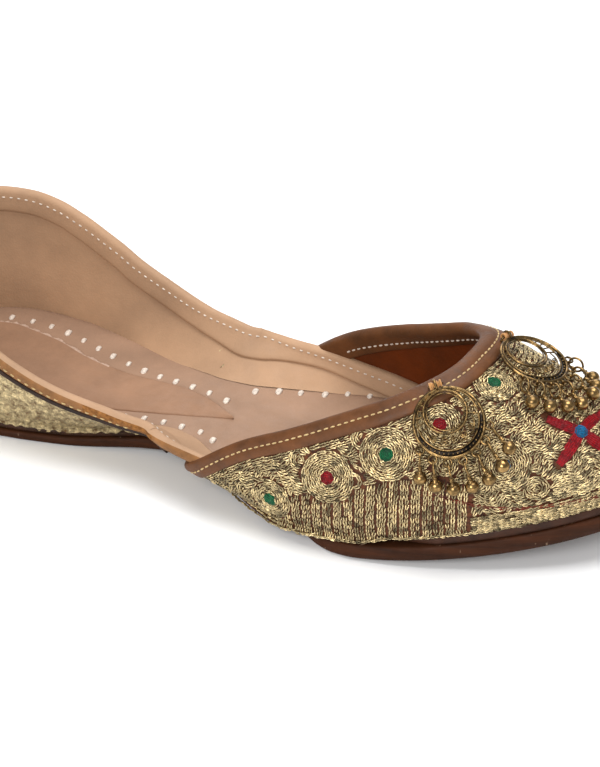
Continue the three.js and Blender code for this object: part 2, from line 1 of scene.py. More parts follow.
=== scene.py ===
"""Mojari shoe: leather, zari embroidery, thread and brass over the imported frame."""

import math

import bmesh
import bpy
import numpy as np
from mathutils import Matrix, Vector
from mathutils.bvhtree import BVHTree


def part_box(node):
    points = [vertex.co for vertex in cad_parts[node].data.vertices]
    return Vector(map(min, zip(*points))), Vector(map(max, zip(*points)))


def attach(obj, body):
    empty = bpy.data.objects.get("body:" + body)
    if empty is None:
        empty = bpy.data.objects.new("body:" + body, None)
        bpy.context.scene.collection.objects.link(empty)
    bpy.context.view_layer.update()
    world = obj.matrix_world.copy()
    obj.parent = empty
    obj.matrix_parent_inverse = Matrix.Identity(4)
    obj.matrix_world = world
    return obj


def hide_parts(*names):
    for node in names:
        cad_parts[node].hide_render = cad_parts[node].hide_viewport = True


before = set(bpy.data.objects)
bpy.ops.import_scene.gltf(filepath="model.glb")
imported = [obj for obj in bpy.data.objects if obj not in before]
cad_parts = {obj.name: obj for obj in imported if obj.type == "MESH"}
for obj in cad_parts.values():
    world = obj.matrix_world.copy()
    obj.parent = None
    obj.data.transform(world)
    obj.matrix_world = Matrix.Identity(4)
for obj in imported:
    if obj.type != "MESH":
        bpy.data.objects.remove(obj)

bl_info = {
    "name": "Mojari shoe",
    "version": (1, 0, 0),
    "blender": (4, 5, 0),
    "location": "View3D > Sidebar > Mojari",
    "description": "Builds the dressed mojari shoe on its frame",
    "category": "Object",
}

BODY = "shoe"
MM = 0.001
HEEL_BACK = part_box("outsole")[0][0] / MM

# Sole and last, in millimetres, from the back of the heel.
SOLE_LENGTH = 258.0
HEEL_STATION = 38.0
BALL_STATION = 165.0
HEEL_HALF_WIDTH = 33.0
BALL_HALF_WIDTH = 39.5
TOE_TAPER = 1.5
TOE_ROUND = 0.55
TOE_SWING = 11.0
SWING_STATION = 170.0
TOE_SPRING = 15.0
SPRING_STATION = 172.0
SPRING_POWER = 1.7
ARCH = (2.6, 74.0, 144.0)
OUTSOLE = (2.8, 4.6, 5.6)
MIDSOLE = (1.7, 2.8)
INSOLE = 2.2
GAP = 0.3
VAMP_WALL = 1.6
QUARTER_OUT = 1.5
QUARTER_WALL = 1.4
QUARTER_HANG = 1.7

# The outline's three parts, as shares of the way from heel to toe: heel curve, straight part, toe curve.
HEEL_SHARE = 0.18
STRAIGHT_SHARE = 0.6
TOE_START = 0.78
TOE_SHARE = 0.22
STRAIGHT_END = 208.0
QUARTER_TURN = math.pi / 2

COLUMNS = ("station", "ledge", "spread", "rise", "tuck", "ridge", "crown")

OUTLINE = np.array([
    (38, 33), (47, 32.9), (56, 31.6), (66, 29.2), (75, 26.6), (84, 23.6), (92, 21), (101, 18.6),
    (108, 17.5), (116, 18.6), (124, 22.3), (131, 26.4), (138, 30.4), (150, 36.2), (158, 38.7), (165, 39.5),
])
WALL = np.array([
    (0, -0.7, 4.5, 49, 1.2, 74, 2),
    (30, -0.7, 5.2, 48, 1.3, 74, 2),
    (47, -0.7, 6.2, 41, 1.4, 68, 2),
    (60, -0.6, 8.7, 33.5, 1.5, 60, 2),
    (73, -0.5, 11.7, 27, 1.7, 54, 2),
    (87, -0.3, 14.8, 22, 1.9, 48, 1.9),
    (101, 0, 18.2, 18.5, 2.1, 43, 1.8),
    (116, 0.5, 19, 15, 2.2, 41, 1.7),
    (124, 0.8, 17.2, 13, 2.2, 42, 1.7),
    (131, 1, 13.8, 12, 2.2, 44, 1.7),
    (138, 1.3, 10.4, 11.5, 2.2, 47, 1.8),
    (150, 1.7, 4.9, 11, 2.1, 50.7, 2),
    (157, 1.9, 3.3, 11, 2, 52.4, 2),
    (168, 2, 2.4, 10.5, 2, 53.6, 2.1),
    (179, 2, 2.1, 10, 2, 54.9, 2.3),
    (189, 2, 1.8, 9.5, 2, 56.4, 2.5),
    (198, 2, 1.6, 9, 2, 57, 2.5),
    (209, 2, 1.5, 8.5, 2, 53, 2.6),
    (222, 2, 1.3, 8, 2, 48.6, 2.6),
    (235, 2, 1.2, 7.5, 2, 44, 2.5),
    (258, 2, 0.9, 6.5, 2, 34, 2.4),
])
COLLAR_EDGE = np.array([
    (-30, 50.6), (-8, 50.4), (14, 49.8), (25, 48.8), (36, 46.2), (43, 43.4), (50, 40), (57, 36.6),
    (65, 32.4), (73, 29.2), (87, 25.1), (101, 22.4), (116, 20.8), (134, 19.8), (148, 17.8), (162, 15.6),
    (186, 12),
])
VAMP_EDGE = np.array([
    (118, -20), (119.5, 5), (123, 13), (131, 20), (138, 25.4), (144, 29.4), (150.5, 32.9), (157, 36),
    (168, 41.4), (179, 46.8), (189, 51.6), (197, 55.4), (203, 58.2), (240, 76), (300, 105),
])
PAD_OUTLINE = np.array([
    (30, 20.6), (46, 18.4), (60, 14), (74, 11.2), (88, 9.8), (100, 8.2), (110, 5.4), (122, 0),
])

# How far the soles are tucked in, and the hem dropped, along the near side.
NEAR_COLUMNS = ("station", "outsole", "midsole", "drop")
NEAR_EDGE = np.array([
    (108, 0, 0, 0),
    (116, 1.4, 3.4, 0),
    (125, 4, 7, 2),
    (134, 7, 9.5, 2),
    (146, 10, 12, 2.4),
    (157, 10, 12, 3.1),
    (165, 6, 9, 2.3),
    (170, 3.2, 6.6, 2),
    (176, 1, 5, 2),
    (184, 0, 4.2, 1.6),
    (193, 0, 3.2, 0),
    (206, 0, 0, 0),
])


def follow(rows, x, column=1):
    """Monotone cubic through the rows of a table, in one column."""
    xs = rows[:, 0]
    ys = rows[:, column]
    slope = np.diff(ys) / np.diff(xs)
    inner = np.where(slope[:-1] * slope[1:] > 0, 2 * slope[:-1] * slope[1:], 0.0)
    total = np.where(np.abs(slope[:-1] + slope[1:]) > 1e-12, slope[:-1] + slope[1:], 1.0)
    tangent = np.concatenate([slope[:1], inner / total, slope[-1:]])
    at = np.clip(np.asarray(x, float), xs[0], xs[-1])
    i = np.clip(np.searchsorted(xs, at, side="left") - 1, 0, len(xs) - 2)
    h = xs[i + 1] - xs[i]
    t = (at - xs[i]) / h
    ends = ys[i] * (2 * t**3 - 3 * t**2 + 1) + ys[i + 1] * (3 * t**2 - 2 * t**3)
    return ends + h * (tangent[i] * (t**3 - 2 * t**2 + t) + tangent[i + 1] * (t**3 - t**2))


def wall(name, station):
    """One measure of the last's wall at a station."""
    return follow(WALL, station, COLUMNS.index(name))


def near_edge(name, station):
    """One measure of the near side's edge at a station."""
    return follow(NEAR_EDGE, station, NEAR_COLUMNS.index(name))


def eased(x, low, high):
    """A smooth step from 0 at low to 1 at high."""
    share = np.clip((x - low) / (high - low), 0, 1)
    return share * share * (3 - 2 * share)


def sole_half_width(station):
    """Half the sole's width: round heel, drawn waist, tapered toe."""
    station = np.asarray(station, float)
    back = 1 - np.clip(station, 0, HEEL_STATION) / HEEL_STATION
    heel = HEEL_HALF_WIDTH * np.sqrt(np.maximum(0, 1 - back * back))
    ahead = np.clip((station - BALL_STATION) / (SOLE_LENGTH - BALL_STATION), 0, 1)
    toe = BALL_HALF_WIDTH * np.maximum(0, 1 - ahead**TOE_TAPER) ** TOE_ROUND
    middle = follow(OUTLINE, station)
    return np.where(station <= HEEL_STATION, heel, np.where(station < BALL_STATION, middle, toe))


def station_at(share):
    """Station at a share of the outline: even along the straight part, eased round heel and toe."""
    share = np.asarray(share, float)
    heel = HEEL_STATION * (1 - np.cos(QUARTER_TURN * np.clip(share / HEEL_SHARE, 0, 1)))
    straight = HEEL_STATION + (STRAIGHT_END - HEEL_STATION) * (share - HEEL_SHARE) / STRAIGHT_SHARE
    ahead = np.clip((share - TOE_START) / TOE_SHARE, 0, 1)
    toe = STRAIGHT_END + (SOLE_LENGTH - STRAIGHT_END) * np.sin(QUARTER_TURN * ahead)
    return np.where(share < HEEL_SHARE, heel, np.where(share < TOE_START, straight, toe))


def share_of(station):
    """Share of a station on the straight part of the outline."""
    return HEEL_SHARE + STRAIGHT_SHARE * (station - HEEL_STATION) / (STRAIGHT_END - HEEL_STATION)


def toe_share(station):
    """Share of a station past the straight part."""
    ahead = (station - STRAIGHT_END) / (SOLE_LENGTH - STRAIGHT_END)
    return TOE_START + TOE_SHARE * math.asin(ahead) / QUARTER_TURN


def swing(station):
    """How far the toe swings toward +Y at a station."""
    ahead = np.clip((station - SWING_STATION) / (SOLE_LENGTH - SWING_STATION), 0, 1)
    return TOE_SWING * ahead * ahead * (1.6 - 0.6 * ahead)


def plan_point(share, inset):
    """Point of the sole's outline on the +Y side, set in by a distance."""
    station = station_at(share)
    half = sole_half_width(station)
    back = inset * np.maximum(0, 1 - station / 90)
    front = 1.7 * inset * np.clip((station - 150) / (SOLE_LENGTH - 150), 0, 1) ** 2
    y = half - inset
    y = np.where(station < HEEL_STATION, half * (1 - inset / HEEL_HALF_WIDTH), y)
    y = np.where(station > BALL_STATION, half * (1 - inset / BALL_HALF_WIDTH), y)
    return station + back - front, y


def ledge_point(share):
    """Base line of the last past either end, mirrored over the middle."""
    sign = np.where((share < 0) | (share > 1), -1.0, 1.0)
    inside = np.where(share < 0, -share, np.where(share > 1, 2 - share, share))
    x, y = plan_point(inside, wall("ledge", station_at(inside)))
    return x, sign * y


def sole_bottom(station):
    """Height of the sole's underside: lifted at the waist, sprung at the toe."""
    arch = np.clip((station - ARCH[1]) / (ARCH[2] - ARCH[1]), 0, 1)
    toe = np.clip((station - SPRING_STATION) / (SOLE_LENGTH - SPRING_STATION), 0, 1)
    return ARCH[0] * np.sin(math.pi * arch) ** 2 + TOE_SPRING * toe**SPRING_POWER


def outsole_top(station):
    ball = (OUTSOLE[1] - OUTSOLE[0]) * eased(station, 50, 130)
    toe = (OUTSOLE[2] - OUTSOLE[1]) * eased(station, 170, 240)
    return sole_bottom(station) + OUTSOLE[0] + ball + toe


def midsole_top(station):
    return outsole_top(station) + GAP + MIDSOLE[0] + (MIDSOLE[1] - MIDSOLE[0]) * eased(station, 170, 240)


def insole_top(station):
    return midsole_top(station) + GAP + INSOLE


def last_point(share, climb):
    """Points of the last on the +Y side, before the toe's swing."""
    share, climb = np.broadcast_arrays(np.asarray(share, float), np.asarray(climb, float))
    station = station_at(share)
    x, y = ledge_point(share)
    step = 0.002 + 0.022 * np.sin(math.pi * np.clip(share, 0, 1)) ** 2
    bx, by = ledge_point(share - step)
    ax, ay = ledge_point(share + step)
    length = np.hypot(ax - bx, ay - by)
    out_x, out_y = -(ay - by) / length, (ax - bx) / length
    base = midsole_top(x)
    foot = np.clip(climb, 0, 1)
    away = wall("spread", station) * (1 - (1 - foot) ** wall("tuck", station))
    x = x + out_x * away
    y = y + out_y * away
    height = base + wall("rise", station) * foot
    turn = (math.pi / 2) * np.clip(climb - 1, 0, 1)
    power = 2 / wall("crown", station)
    spine = station + np.maximum(0, 44 - station) * 0.55 - np.maximum(0, station - 196) * 0.3
    inward = 1 - np.maximum(0, np.cos(turn)) ** power
    up = np.sin(turn) ** power
    top = wall("ridge", spine)
    return np.stack([x + (spine - x) * inward, y * (1 - inward), height + (top - height) * up], -1)


def swung(points, side):
    """The +Y side's points on the wanted side, with the toe's swing."""
    moved = np.array(points, float)
    moved[..., 1] = side * moved[..., 1] + swing(moved[..., 0])
    return moved


GRID_SHARES = np.linspace(0, 1, 401)
GRID_CLIMBS = np.linspace(0, 2, 161)


def grid_normals():
    """Outward normals of the last on a regular grid of share and climb, on the +Y side."""
    points = last_point(GRID_SHARES[:, None], GRID_CLIMBS[None, :])
    along = np.gradient(points, axis=0)
    mirror = np.array([1.0, -1.0, 1.0])
    along[0] = points[1] - points[1] * mirror
    along[-1] = points[-2] * mirror - points[-2]
    climb = np.gradient(points, axis=1)
    climb[:, -1] = points[:, -2] * mirror - points[:, -2]
    normal = np.cross(climb, along)
    normal /= np.linalg.norm(normal, axis=-1, keepdims=True) + 1e-12
    for _ in range(2):
        inner = normal.copy()
        inner[:, 1:-1] = (normal[:, :-2] + 2 * normal[:, 1:-1] + normal[:, 2:]) / 4
        normal = inner / (np.linalg.norm(inner, axis=-1, keepdims=True) + 1e-12)
    return normal


NORMALS = grid_normals()


def last_normal(share, climb, side):
    """Outward normals of the last, read from the grid."""
    share, climb = np.broadcast_arrays(np.asarray(share, float), np.asarray(climb, float))
    a = np.clip(share, 0, 1) * (len(GRID_SHARES) - 1)
    b = np.clip(climb / 2, 0, 1) * (len(GRID_CLIMBS) - 1)
    i = np.clip(a.astype(int), 0, len(GRID_SHARES) - 2)
    j = np.clip(b.astype(int), 0, len(GRID_CLIMBS) - 2)
    u = (a - i)[..., None]
    v = (b - j)[..., None]
    n = NORMALS[i, j] * (1 - u) * (1 - v) + NORMALS[i + 1, j] * u * (1 - v)
    n = n + NORMALS[i, j + 1] * (1 - u) * v + NORMALS[i + 1, j + 1] * u * v
    n = n / (np.linalg.norm(n, axis=-1, keepdims=True) + 1e-12)
    return n * np.array([1.0, side, 1.0])


def skin(share, climb, side, offset=0.0):
    """Points of the last, moved along its normals."""
    offset = np.asarray(offset, float)
    if offset.ndim:
        offset = offset[..., None]
    return swung(last_point(share, climb), side) + last_normal(share, climb, side) * offset


def behind(rows, points):
    """Distance past an edge in side view: negative inside the piece."""
    x = points[..., 0]
    slope = (follow(rows, x + 0.2) - follow(rows, x - 0.2)) / 0.4
    return (points[..., 2] - follow(rows, x)) / np.sqrt(1 + slope * slope)


def climb_to(rows, inside, share):
    """Climb at which each column reaches a line that lies inside an edge; 2 where it never does."""
    low = np.zeros_like(share)
    high = np.full_like(share, 2.0)
    reached = behind(rows, last_point(share, high)) > -inside
    for _ in range(40):
        middle = (low + high) / 2
        past = behind(rows, last_point(share, middle)) > -inside
        high = np.where(past, middle, high)
        low = np.where(past, low, middle)
    return np.where(reached, (low + high) / 2, 2.0)


def resample(values, points, count):
    """Values at even steps along a line of points."""
    steps = np.concatenate([[0], np.cumsum(np.linalg.norm(np.diff(points, axis=0), axis=1))])
    even = np.linspace(0, steps[-1], count)
    return np.stack([np.interp(even, steps, values[:, k]) for k in range(values.shape[1])], -1)


def throat_line(inside, count):
    """Share and climb along a line beside the vamp's edge, from the sole up to the ridge."""
    share = np.concatenate([
        np.linspace(share_of(117), share_of(190), 240),
        np.linspace(share_of(190), 0.999, 900)[1:],
    ])
    climb = climb_to(VAMP_EDGE, inside, share)
    base = behind(VAMP_EDGE, last_point(share, 0 * share)) < -inside
    keep = base & (climb < 1.9999)
    if keep.sum() < 4:
        return None
    share = share[keep]
    climb = climb[keep]
    line = np.stack([share, climb], -1)
    top = line[-1].copy()
    if climb[-1] > 1.2:
        top[1] = 2.0
        line = np.concatenate([line, top[None]])
    return resample(line, last_point(line[:, 0], line[:, 1]), count)


COLLAR_FRONT = 0.655


def collar_line(inside, count, front=COLLAR_FRONT):
    """Share and climb along a line below the collar, from the back of the heel forward."""
    share = np.linspace(0, front, count)
    return np.stack([share, np.minimum(climb_to(COLLAR_EDGE, inside, share), 1.98)], -1)


# Meshes.


def to_frame(points):
    """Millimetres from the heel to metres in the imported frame."""
    moved = np.array(points, float)
    moved[..., 0] += HEEL_BACK
    return moved * MM


def new_object(name, points, faces, materials, face_material=None, weld=0.0):
    """A smooth mesh object at the origin, linked to the scene."""
    mesh = bpy.data.meshes.new(name)
    mesh.from_pydata([tuple(p) for p in np.asarray(points).reshape(-1, 3)], [], faces)
    if weld:
        weld_mesh(mesh, weld)
    mesh.update()
    for material in materials:
        mesh.materials.append(material)
    if face_material is not None:
        mesh.polygons.foreach_set("material_index", np.asarray(face_material, dtype=np.int32))
    mesh.polygons.foreach_set("use_smooth", [True] * len(mesh.polygons))
    obj = bpy.data.objects.new(name, mesh)
    bpy.context.scene.collection.objects.link(obj)
    return obj


def weld_mesh(mesh, distance):
    """Merges the doubles of a closed mesh and turns its faces outwards."""
    work = bmesh.new()
    work.from_mesh(mesh)
    bmesh.ops.remove_doubles(work, verts=work.verts, dist=distance)
    bmesh.ops.recalc_face_normals(work, faces=work.faces)
    work.to_mesh(mesh)
    work.free()


def grid_faces(rows, columns, start, close_rows, close_columns, flip):
    """Four-sided faces over a grid of points."""
    faces = []
    for i in range(rows if close_rows else rows - 1):
        for j in range(columns if close_columns else columns - 1):
            a = start + i * columns + j
            b = start + i * columns + (j + 1) % columns
            c = start + ((i + 1) % rows) * columns + (j + 1) % columns
            d = start + ((i + 1) % rows) * columns + j
            faces.append((a, d, c, b) if flip else (a, b, c, d))
    return faces


class Build:
    """Points and faces of several grids in one mesh."""

    def __init__(self):
        self.points = []
        self.faces = []
        self.slots = []
        self.count = 0

    def grid(self, points, slot=0, flip=False, close_rows=False, close_columns=False):
        points = np.asarray(points, float)
        rows, columns = points.shape[:2]
        faces = grid_faces(rows, columns, self.count, close_rows, close_columns, flip)
        self.points.append(points.reshape(-1, 3))
        self.faces += faces
        self.slots += [slot] * len(faces)
        self.count += rows * columns

    def done(self, name, materials, weld=0.0):
        points = to_frame(np.concatenate(self.points))
        slots = None if weld else self.slots
        return new_object(name, points, self.faces, materials, slots, weld * MM)


def finish_piece(obj, nodes=(), body=BODY):
    """Checks that a made piece has faces, sets it on its body and hides the nodes it stands for."""
    if len(obj.data.polygons) == 0:
        raise RuntimeError(f"{obj.name} has no faces")
    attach(obj, body)
    if nodes:
        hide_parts(*nodes)
    return obj


# Materials.


def srgb(colour):
    """A picture colour as the shader's linear colour."""
    return tuple(c / 12.92 if c <= 0.04045 else ((c + 0.055) / 1.055) ** 2.4 for c in colour[:3]) + (1.0,)


class Look:
    """A Principled material with helpers for its nodes."""

    def __init__(self, name, **sockets):
        self.material = bpy.data.materials.new(name)
        self.material.use_nodes = True
        self.tree = self.material.node_tree
        self.shader = self.tree.nodes["Principled BSDF"]
        for key, value in sockets.items():
            self.shader.inputs[key.replace("_", " ")].default_value = value
        self.bumped = None
        coordinates = self.tree.nodes.new("ShaderNodeTexCoord")
        self.place = coordinates.outputs["Object"]

    def node(self, kind, links):
        made = self.tree.nodes.new(kind)
        for key, source in links.items():
            self.tree.links.new(source, made.inputs[key])
        return made

    def noise(self, scale, detail=4.0, rough=0.55, stretch=None):
        place = self.place
        if stretch:
            mapping = self.node("ShaderNodeMapping", {"Vector": place})
            mapping.inputs["Scale"].default_value = stretch
            place = mapping.outputs[0]
        made = self.node("ShaderNodeTexNoise", {"Vector": place})
        made.inputs["Scale"].default_value = scale
        made.inputs["Detail"].default_value = detail
        made.inputs["Roughness"].default_value = rough
        return made.outputs["Fac"]

    def cells(self, scale):
        made = self.node("ShaderNodeTexVoronoi", {"Vector": self.place})
        made.inputs["Scale"].default_value = scale
        return made.outputs["Distance"]

    def attribute(self, name, output="Fac"):
        made = self.tree.nodes.new("ShaderNodeAttribute")
        made.attribute_name = name
        return made.outputs[output]

    def ramp(self, source, stops):
        made = self.node("ShaderNodeValToRGB", {"Fac": source})
        band = made.color_ramp
        while len(band.elements) < len(stops):
            band.elements.new(0.5)
        for element, (place, colour) in zip(band.elements, stops):
            element.position = place
            element.color = srgb(colour) if len(colour) == 3 else colour
        return made.outputs["Color"]

    def spread(self, source, low, high, to_low, to_high):
        made = self.node("ShaderNodeMapRange", {"Value": source})
        for key, value in zip(("From Min", "From Max", "To Min", "To Max"), (low, high, to_low, to_high)):
            made.inputs[key].default_value = value
        return made.outputs["Result"]

    def mix(self, factor, a, b):
        made = self.tree.nodes.new("ShaderNodeMix")
        made.data_type = "RGBA"
        for source, socket in ((factor, made.inputs[0]), (a, made.inputs[6]), (b, made.inputs[7])):
            if isinstance(source, (int, float)):
                socket.default_value = source
            elif isinstance(source, tuple):
                socket.default_value = srgb(source)
            else:
                self.tree.links.new(source, socket)
        return made.outputs[2]

    def paint(self, source):
        self.tree.links.new(source, self.shader.inputs["Base Color"])

    def rough(self, source):
        self.tree.links.new(source, self.shader.inputs["Roughness"])

    def bump(self, source, distance, strength=1.0):
        made = self.node("ShaderNodeBump", {"Height": source})
        made.inputs["Strength"].default_value = strength
        made.inputs["Distance"].default_value = distance * MM
        if self.bumped:
            self.tree.links.new(self.bumped, made.inputs["Normal"])
        self.bumped = made.outputs["Normal"]
        self.tree.links.new(self.bumped, self.shader.inputs["Normal"])


def leather(name, light, dark, roughness, grain, mottle):
    """Mottled leather with a pebbled grain."""
    look = Look(name, Specular_IOR_Level=0.25)
    patches = look.noise(mottle, 5.0, 0.6)
    look.paint(look.ramp(patches, [(0.28, dark), (0.72, light)]))
    look.rough(look.spread(look.noise(260.0, 3.0), 0.3, 0.7, roughness - 0.1, roughness + 0.1))
    look.bump(look.noise(220.0, 2.0), 0.25, 0.6)
    look.bump(look.cells(1500.0), grain, 0.8)
    return look.material


def colour_of(value):
    return tuple(value[:3])


def shaded(colour, factor):
    """A colour made lighter or darker."""
    return tuple(min(1.0, factor * c) for c in colour[:3])


def make_materials(colours):
    """All finishes of the shoe, from the colours of the panel."""
    sole = colour_of(colours.sole)
    lining = colour_of(colours.lining)
    insole = colour_of(colours.insole)
    pad = colour_of(colours.pad)
    binding = colour_of(colours.binding)
    collar = colour_of(colours.collar)
    amber = colour_of(colours.amber)
    zari = colour_of(colours.zari)
    return {
        "lining": leather("lining_leather", lining, shaded(lining, 0.84), 0.66, 0.05, 38.0),
        # Insole and pad colours are darkened as painted shade on the top-facing surfaces.
        "insole": leather("insole_leather", insole, shaded(insole, 0.86), 0.68, 0.05, 50.0),
        "pad": leather("pad_leather", pad, shaded(pad, 0.86), 0.66, 0.05, 60.0),
        "torn": leather("torn_edge", (0.74, 0.64, 0.57), (0.6, 0.48, 0.41), 0.85, 0.2, 700.0),
        "binding": leather("binding_leather", shaded(binding, 1.16), shaded(binding, 0.76), 0.5, 0.07, 130.0),
        "collar": leather("collar_leather", shaded(collar, 1.15), shaded(collar, 0.75), 0.62, 0.08, 160.0),
        "suede": leather("rough_suede", (0.6, 0.4, 0.2), (0.36, 0.22, 0.1), 0.9, 0.3, 900.0),
        "amber": leather("amber_lining", shaded(amber, 1.15), shaded(amber, 0.8), 0.55, 0.05, 60.0),
        "sole": sole_leather(sole),
        "welt": leather("welt_leather", shaded(sole, 1.1), shaded(sole, 0.6), 0.62, 0.1, 160.0),
        "piping": leather("piping_leather", (0.2, 0.12, 0.08), (0.11, 0.07, 0.045), 0.55, 0.1, 300.0),
        "ground": ground_cloth_with_gap_shade(),
        "zari": zari_thread(zari),
        "brocade": brocade(zari),
        "gilt": thread("gilt_thread", (0.78, 0.66, 0.44)),
        "white": thread("white_thread", (0.86, 0.8, 0.74)),
        "binder": thread("binder_thread", (0.74, 0.52, 0.27)),
        "silk": silk(),
        "brass": brass(colour_of(colours.brass), "antique_brass", 0.34),
        "ball": brass(shaded(colour_of(colours.brass), 1.12), "worn_brass", 0.7),
        # Near-black brass for the plate behind the crescent: partly oxide, partly painted shade in the
        # openwork's gaps.
        "backing_oxide_and_shade": brass((0.13, 0.11, 0.09), "oxide_and_gap_shade", 0.4),
    }


def sole_leather(colour):
    """Sole edge: stained layers with pale specks."""
    look = Look("sole_leather", Specular_IOR_Level=0.12)
    layers = look.noise(90.0, 5.0, 0.6, (0.35, 0.35, 5.0))
    base = look.ramp(layers, [(0.25, shaded(colour, 0.62)), (0.75, shaded(colour, 1.25))])
    specks = look.spread(look.noise(420.0, 3.0, 0.6, (1.0, 1.0, 0.5)), 0.66, 0.72, 0.0, 0.55)
    look.paint(look.mix(specks, base, (0.62, 0.52, 0.43)))
    look.rough(look.spread(look.noise(300.0), 0.3, 0.7, 0.5, 0.75))
    look.bump(look.noise(350.0, 4.0, 0.6, (0.5, 0.5, 3.0)), 0.2, 0.7)
    return look.material


def ground_cloth_with_gap_shade():
    """Brown cloth under the embroidery, darker than its own reddish brown as painted shade in the gaps
    between the stitches.
    """
    look = Look("ground_cloth_with_gap_shade", Roughness=0.75, Specular_IOR_Level=0.3)
    tone = look.noise(900.0, 3.0)
    # Both ends of this ramp are darker than the cloth's own reddish brown: painted shade in the gaps between
    # the stitches.
    look.paint(look.ramp(tone, [(0.35, (0.2, 0.11, 0.06)), (0.65, (0.38, 0.21, 0.11))]))
    look.bump(look.noise(1800.0, 2.0), 0.12, 0.6)
    return look.material


def zari_thread(colour):
    """Gilt thread, with a tone of its own on each stitch, and painted shade in the low spots of its twist."""
    look = Look("zari_thread", Metallic=0.9, Specular_IOR_Level=0.5)
    tone = look.attribute("tone")
    twist_and_groove_shade = look.noise(3600.0, 2.0)
    shade = look.ramp(tone, [(0.0, shaded(colour, 0.55)), (0.5, colour), (1.0, shaded(colour, 1.28))])
    # The thread turns dark brown where the twist's bump is low: painted shade in its grooves.
    look.paint(look.mix(look.spread(twist_and_groove_shade, 0.36, 0.5, 0.7, 0.0), shade, (0.3, 0.19, 0.1)))
    look.rough(look.spread(twist_and_groove_shade, 0.3, 0.7, 0.16, 0.36))
    look.bump(twist_and_groove_shade, 0.12, 0.9)
    return look.material


def brocade(colour):
    """Gold brocade of the quarter."""
    look = Look("gold_brocade", Metallic=0.6, Specular_IOR_Level=0.5)
    weave = look.noise(480.0, 5.0, 0.7)
    fine = look.cells(1300.0)
    base = look.ramp(weave, [
        (0.34, (0.36, 0.24, 0.12)), (0.5, shaded(colour, 0.9)), (0.66, shaded(colour, 1.22)),
    ])
    look.paint(look.mix(look.spread(fine, 0.15, 0.55, 0.0, 0.3), base, (0.34, 0.24, 0.12)))
    look.rough(look.spread(weave, 0.3, 0.7, 0.5, 0.28))
    look.bump(fine, 0.25, 0.8)
    look.bump(weave, 0.4, 0.8)
    return look.material


def thread(name, colour):
    """Plain sewing thread."""
    look = Look(name, Roughness=0.6, Sheen_Weight=0.2)
    look.paint(look.ramp(look.noise(1600.0, 2.0), [(0.35, shaded(colour, 0.8)), (0.65, colour)]))
    look.bump(look.noise(3500.0, 2.0), 0.08, 0.6)
    return look.material


def silk():
    """Coloured silk, with a tint of its own on each stitch."""
    look = Look("coloured_silk", Roughness=0.4, Specular_IOR_Level=0.22)
    tint = look.attribute("tint", "Color")
    sheen = look.noise(4200.0, 2.0)
    look.paint(look.mix(look.spread(sheen, 0.4, 0.6, 0.0, 0.35), tint, (0.05, 0.02, 0.02)))
    look.bump(sheen, 0.06, 0.7)
    return look.material


def brass(colour, name, wear):
    """Brass with darker patches; a low wear leaves them darker."""
    look = Look(name, Metallic=0.95, Specular_IOR_Level=0.5)
    patches = look.noise(560.0, 4.0, 0.65)
    look.paint(look.ramp(patches, [
        (0.34, shaded(colour, wear)), (0.5, shaded(colour, 0.92)), (0.68, shaded(colour, 1.3)),
    ]))
    look.rough(look.spread(patches, 0.3, 0.7, 0.36, 0.16))
    look.bump(look.noise(1600.0, 3.0), 0.05, 0.5)
    return look.material


LOOKS = {}


def look(name):
    """One of the finishes, all made on first use."""
    if not LOOKS:
        LOOKS.update(make_materials(bpy.context.scene.mojari_colours))
    return LOOKS[name]


# Sole.


OUTLINE_STEPS = 240


def plate(levels, tuck):
    """Rows of a plate's edge round the whole outline, low to high, as (inset, height) pairs."""
    share = np.linspace(0, 1, OUTLINE_STEPS)
    rows = []
    for inset, height in levels:
        x, y = plan_point(share, inset)
        near = swung(np.stack([x, y, height(x)], -1), -1)
        near[:, 1] += near_edge(tuck, near[:, 0])
        far = swung(np.stack([x, y, height(x)], -1), 1)
        rows.append(np.concatenate([near, far[::-1][1:-1]]))
    return np.array(rows)


def plate_piece(name, rows, material, cap_rows=6):
    """A closed plate: its edge rows and its two faces drawn in to the middle line."""
    count = rows.shape[1]
    middle = (rows + rows[:, (count // 2 * 2 - np.arange(count)) % count]) / 2
    build = []
    for k in range(cap_rows):
        t = k / cap_rows
        build.append(middle[0] * (1 - t) + rows[0] * t)
    build += list(rows)
    for k in range(1, cap_rows + 1):
        t = k / cap_rows
        build.append(rows[-1] * (1 - t) + middle[-1] * t)
    made = Build()
    made.grid(np.array(build), close_columns=True)
    return made.done(name, [material], weld=0.02)


def colour_property(name, description, default):
    return bpy.props.FloatVectorProperty(
        name=name, description=description, subtype="COLOR_GAMMA", size=3, min=0.0, max=1.0, default=default
    )


def length_property(name, description, default):
    return bpy.props.FloatProperty(
        name=name, description=description, default=default * MM, min=0.2 * MM, max=9.0 * MM,
        precision=5, unit="LENGTH", subtype="DISTANCE",
    )


class MojariColours(bpy.types.PropertyGroup):
    """Colours of the leathers, threads and brass."""

    zari: colour_property("Zari", "Gold thread of the vamp and the quarter", (0.78, 0.705, 0.535))
    lining: colour_property("Lining", "Tan leather inside the quarter", (0.68, 0.54, 0.42))
    # The insole's and the heel pad's tans are set darker than the lining's as painted shade on these
    # top-facing surfaces.
    insole: colour_property("Insole", "Tan leather of the insole", (0.6, 0.475, 0.385))
    pad: colour_property("Heel pad", "Leather of the heel pad", (0.585, 0.445, 0.345))
    binding: colour_property("Throat binding", "Brown leather round the throat", (0.35, 0.21, 0.105))
    collar: colour_property("Collar binding", "Brown leather outside the collar", (0.5, 0.34, 0.19))
    amber: colour_property("Vamp lining", "Amber leather inside the vamp", (0.36, 0.145, 0.0))
    sole: colour_property("Sole", "Brown leather of the sole", (0.22, 0.115, 0.055))
    brass: colour_property("Brass", "Antique brass of the ornaments", (0.47, 0.375, 0.235))


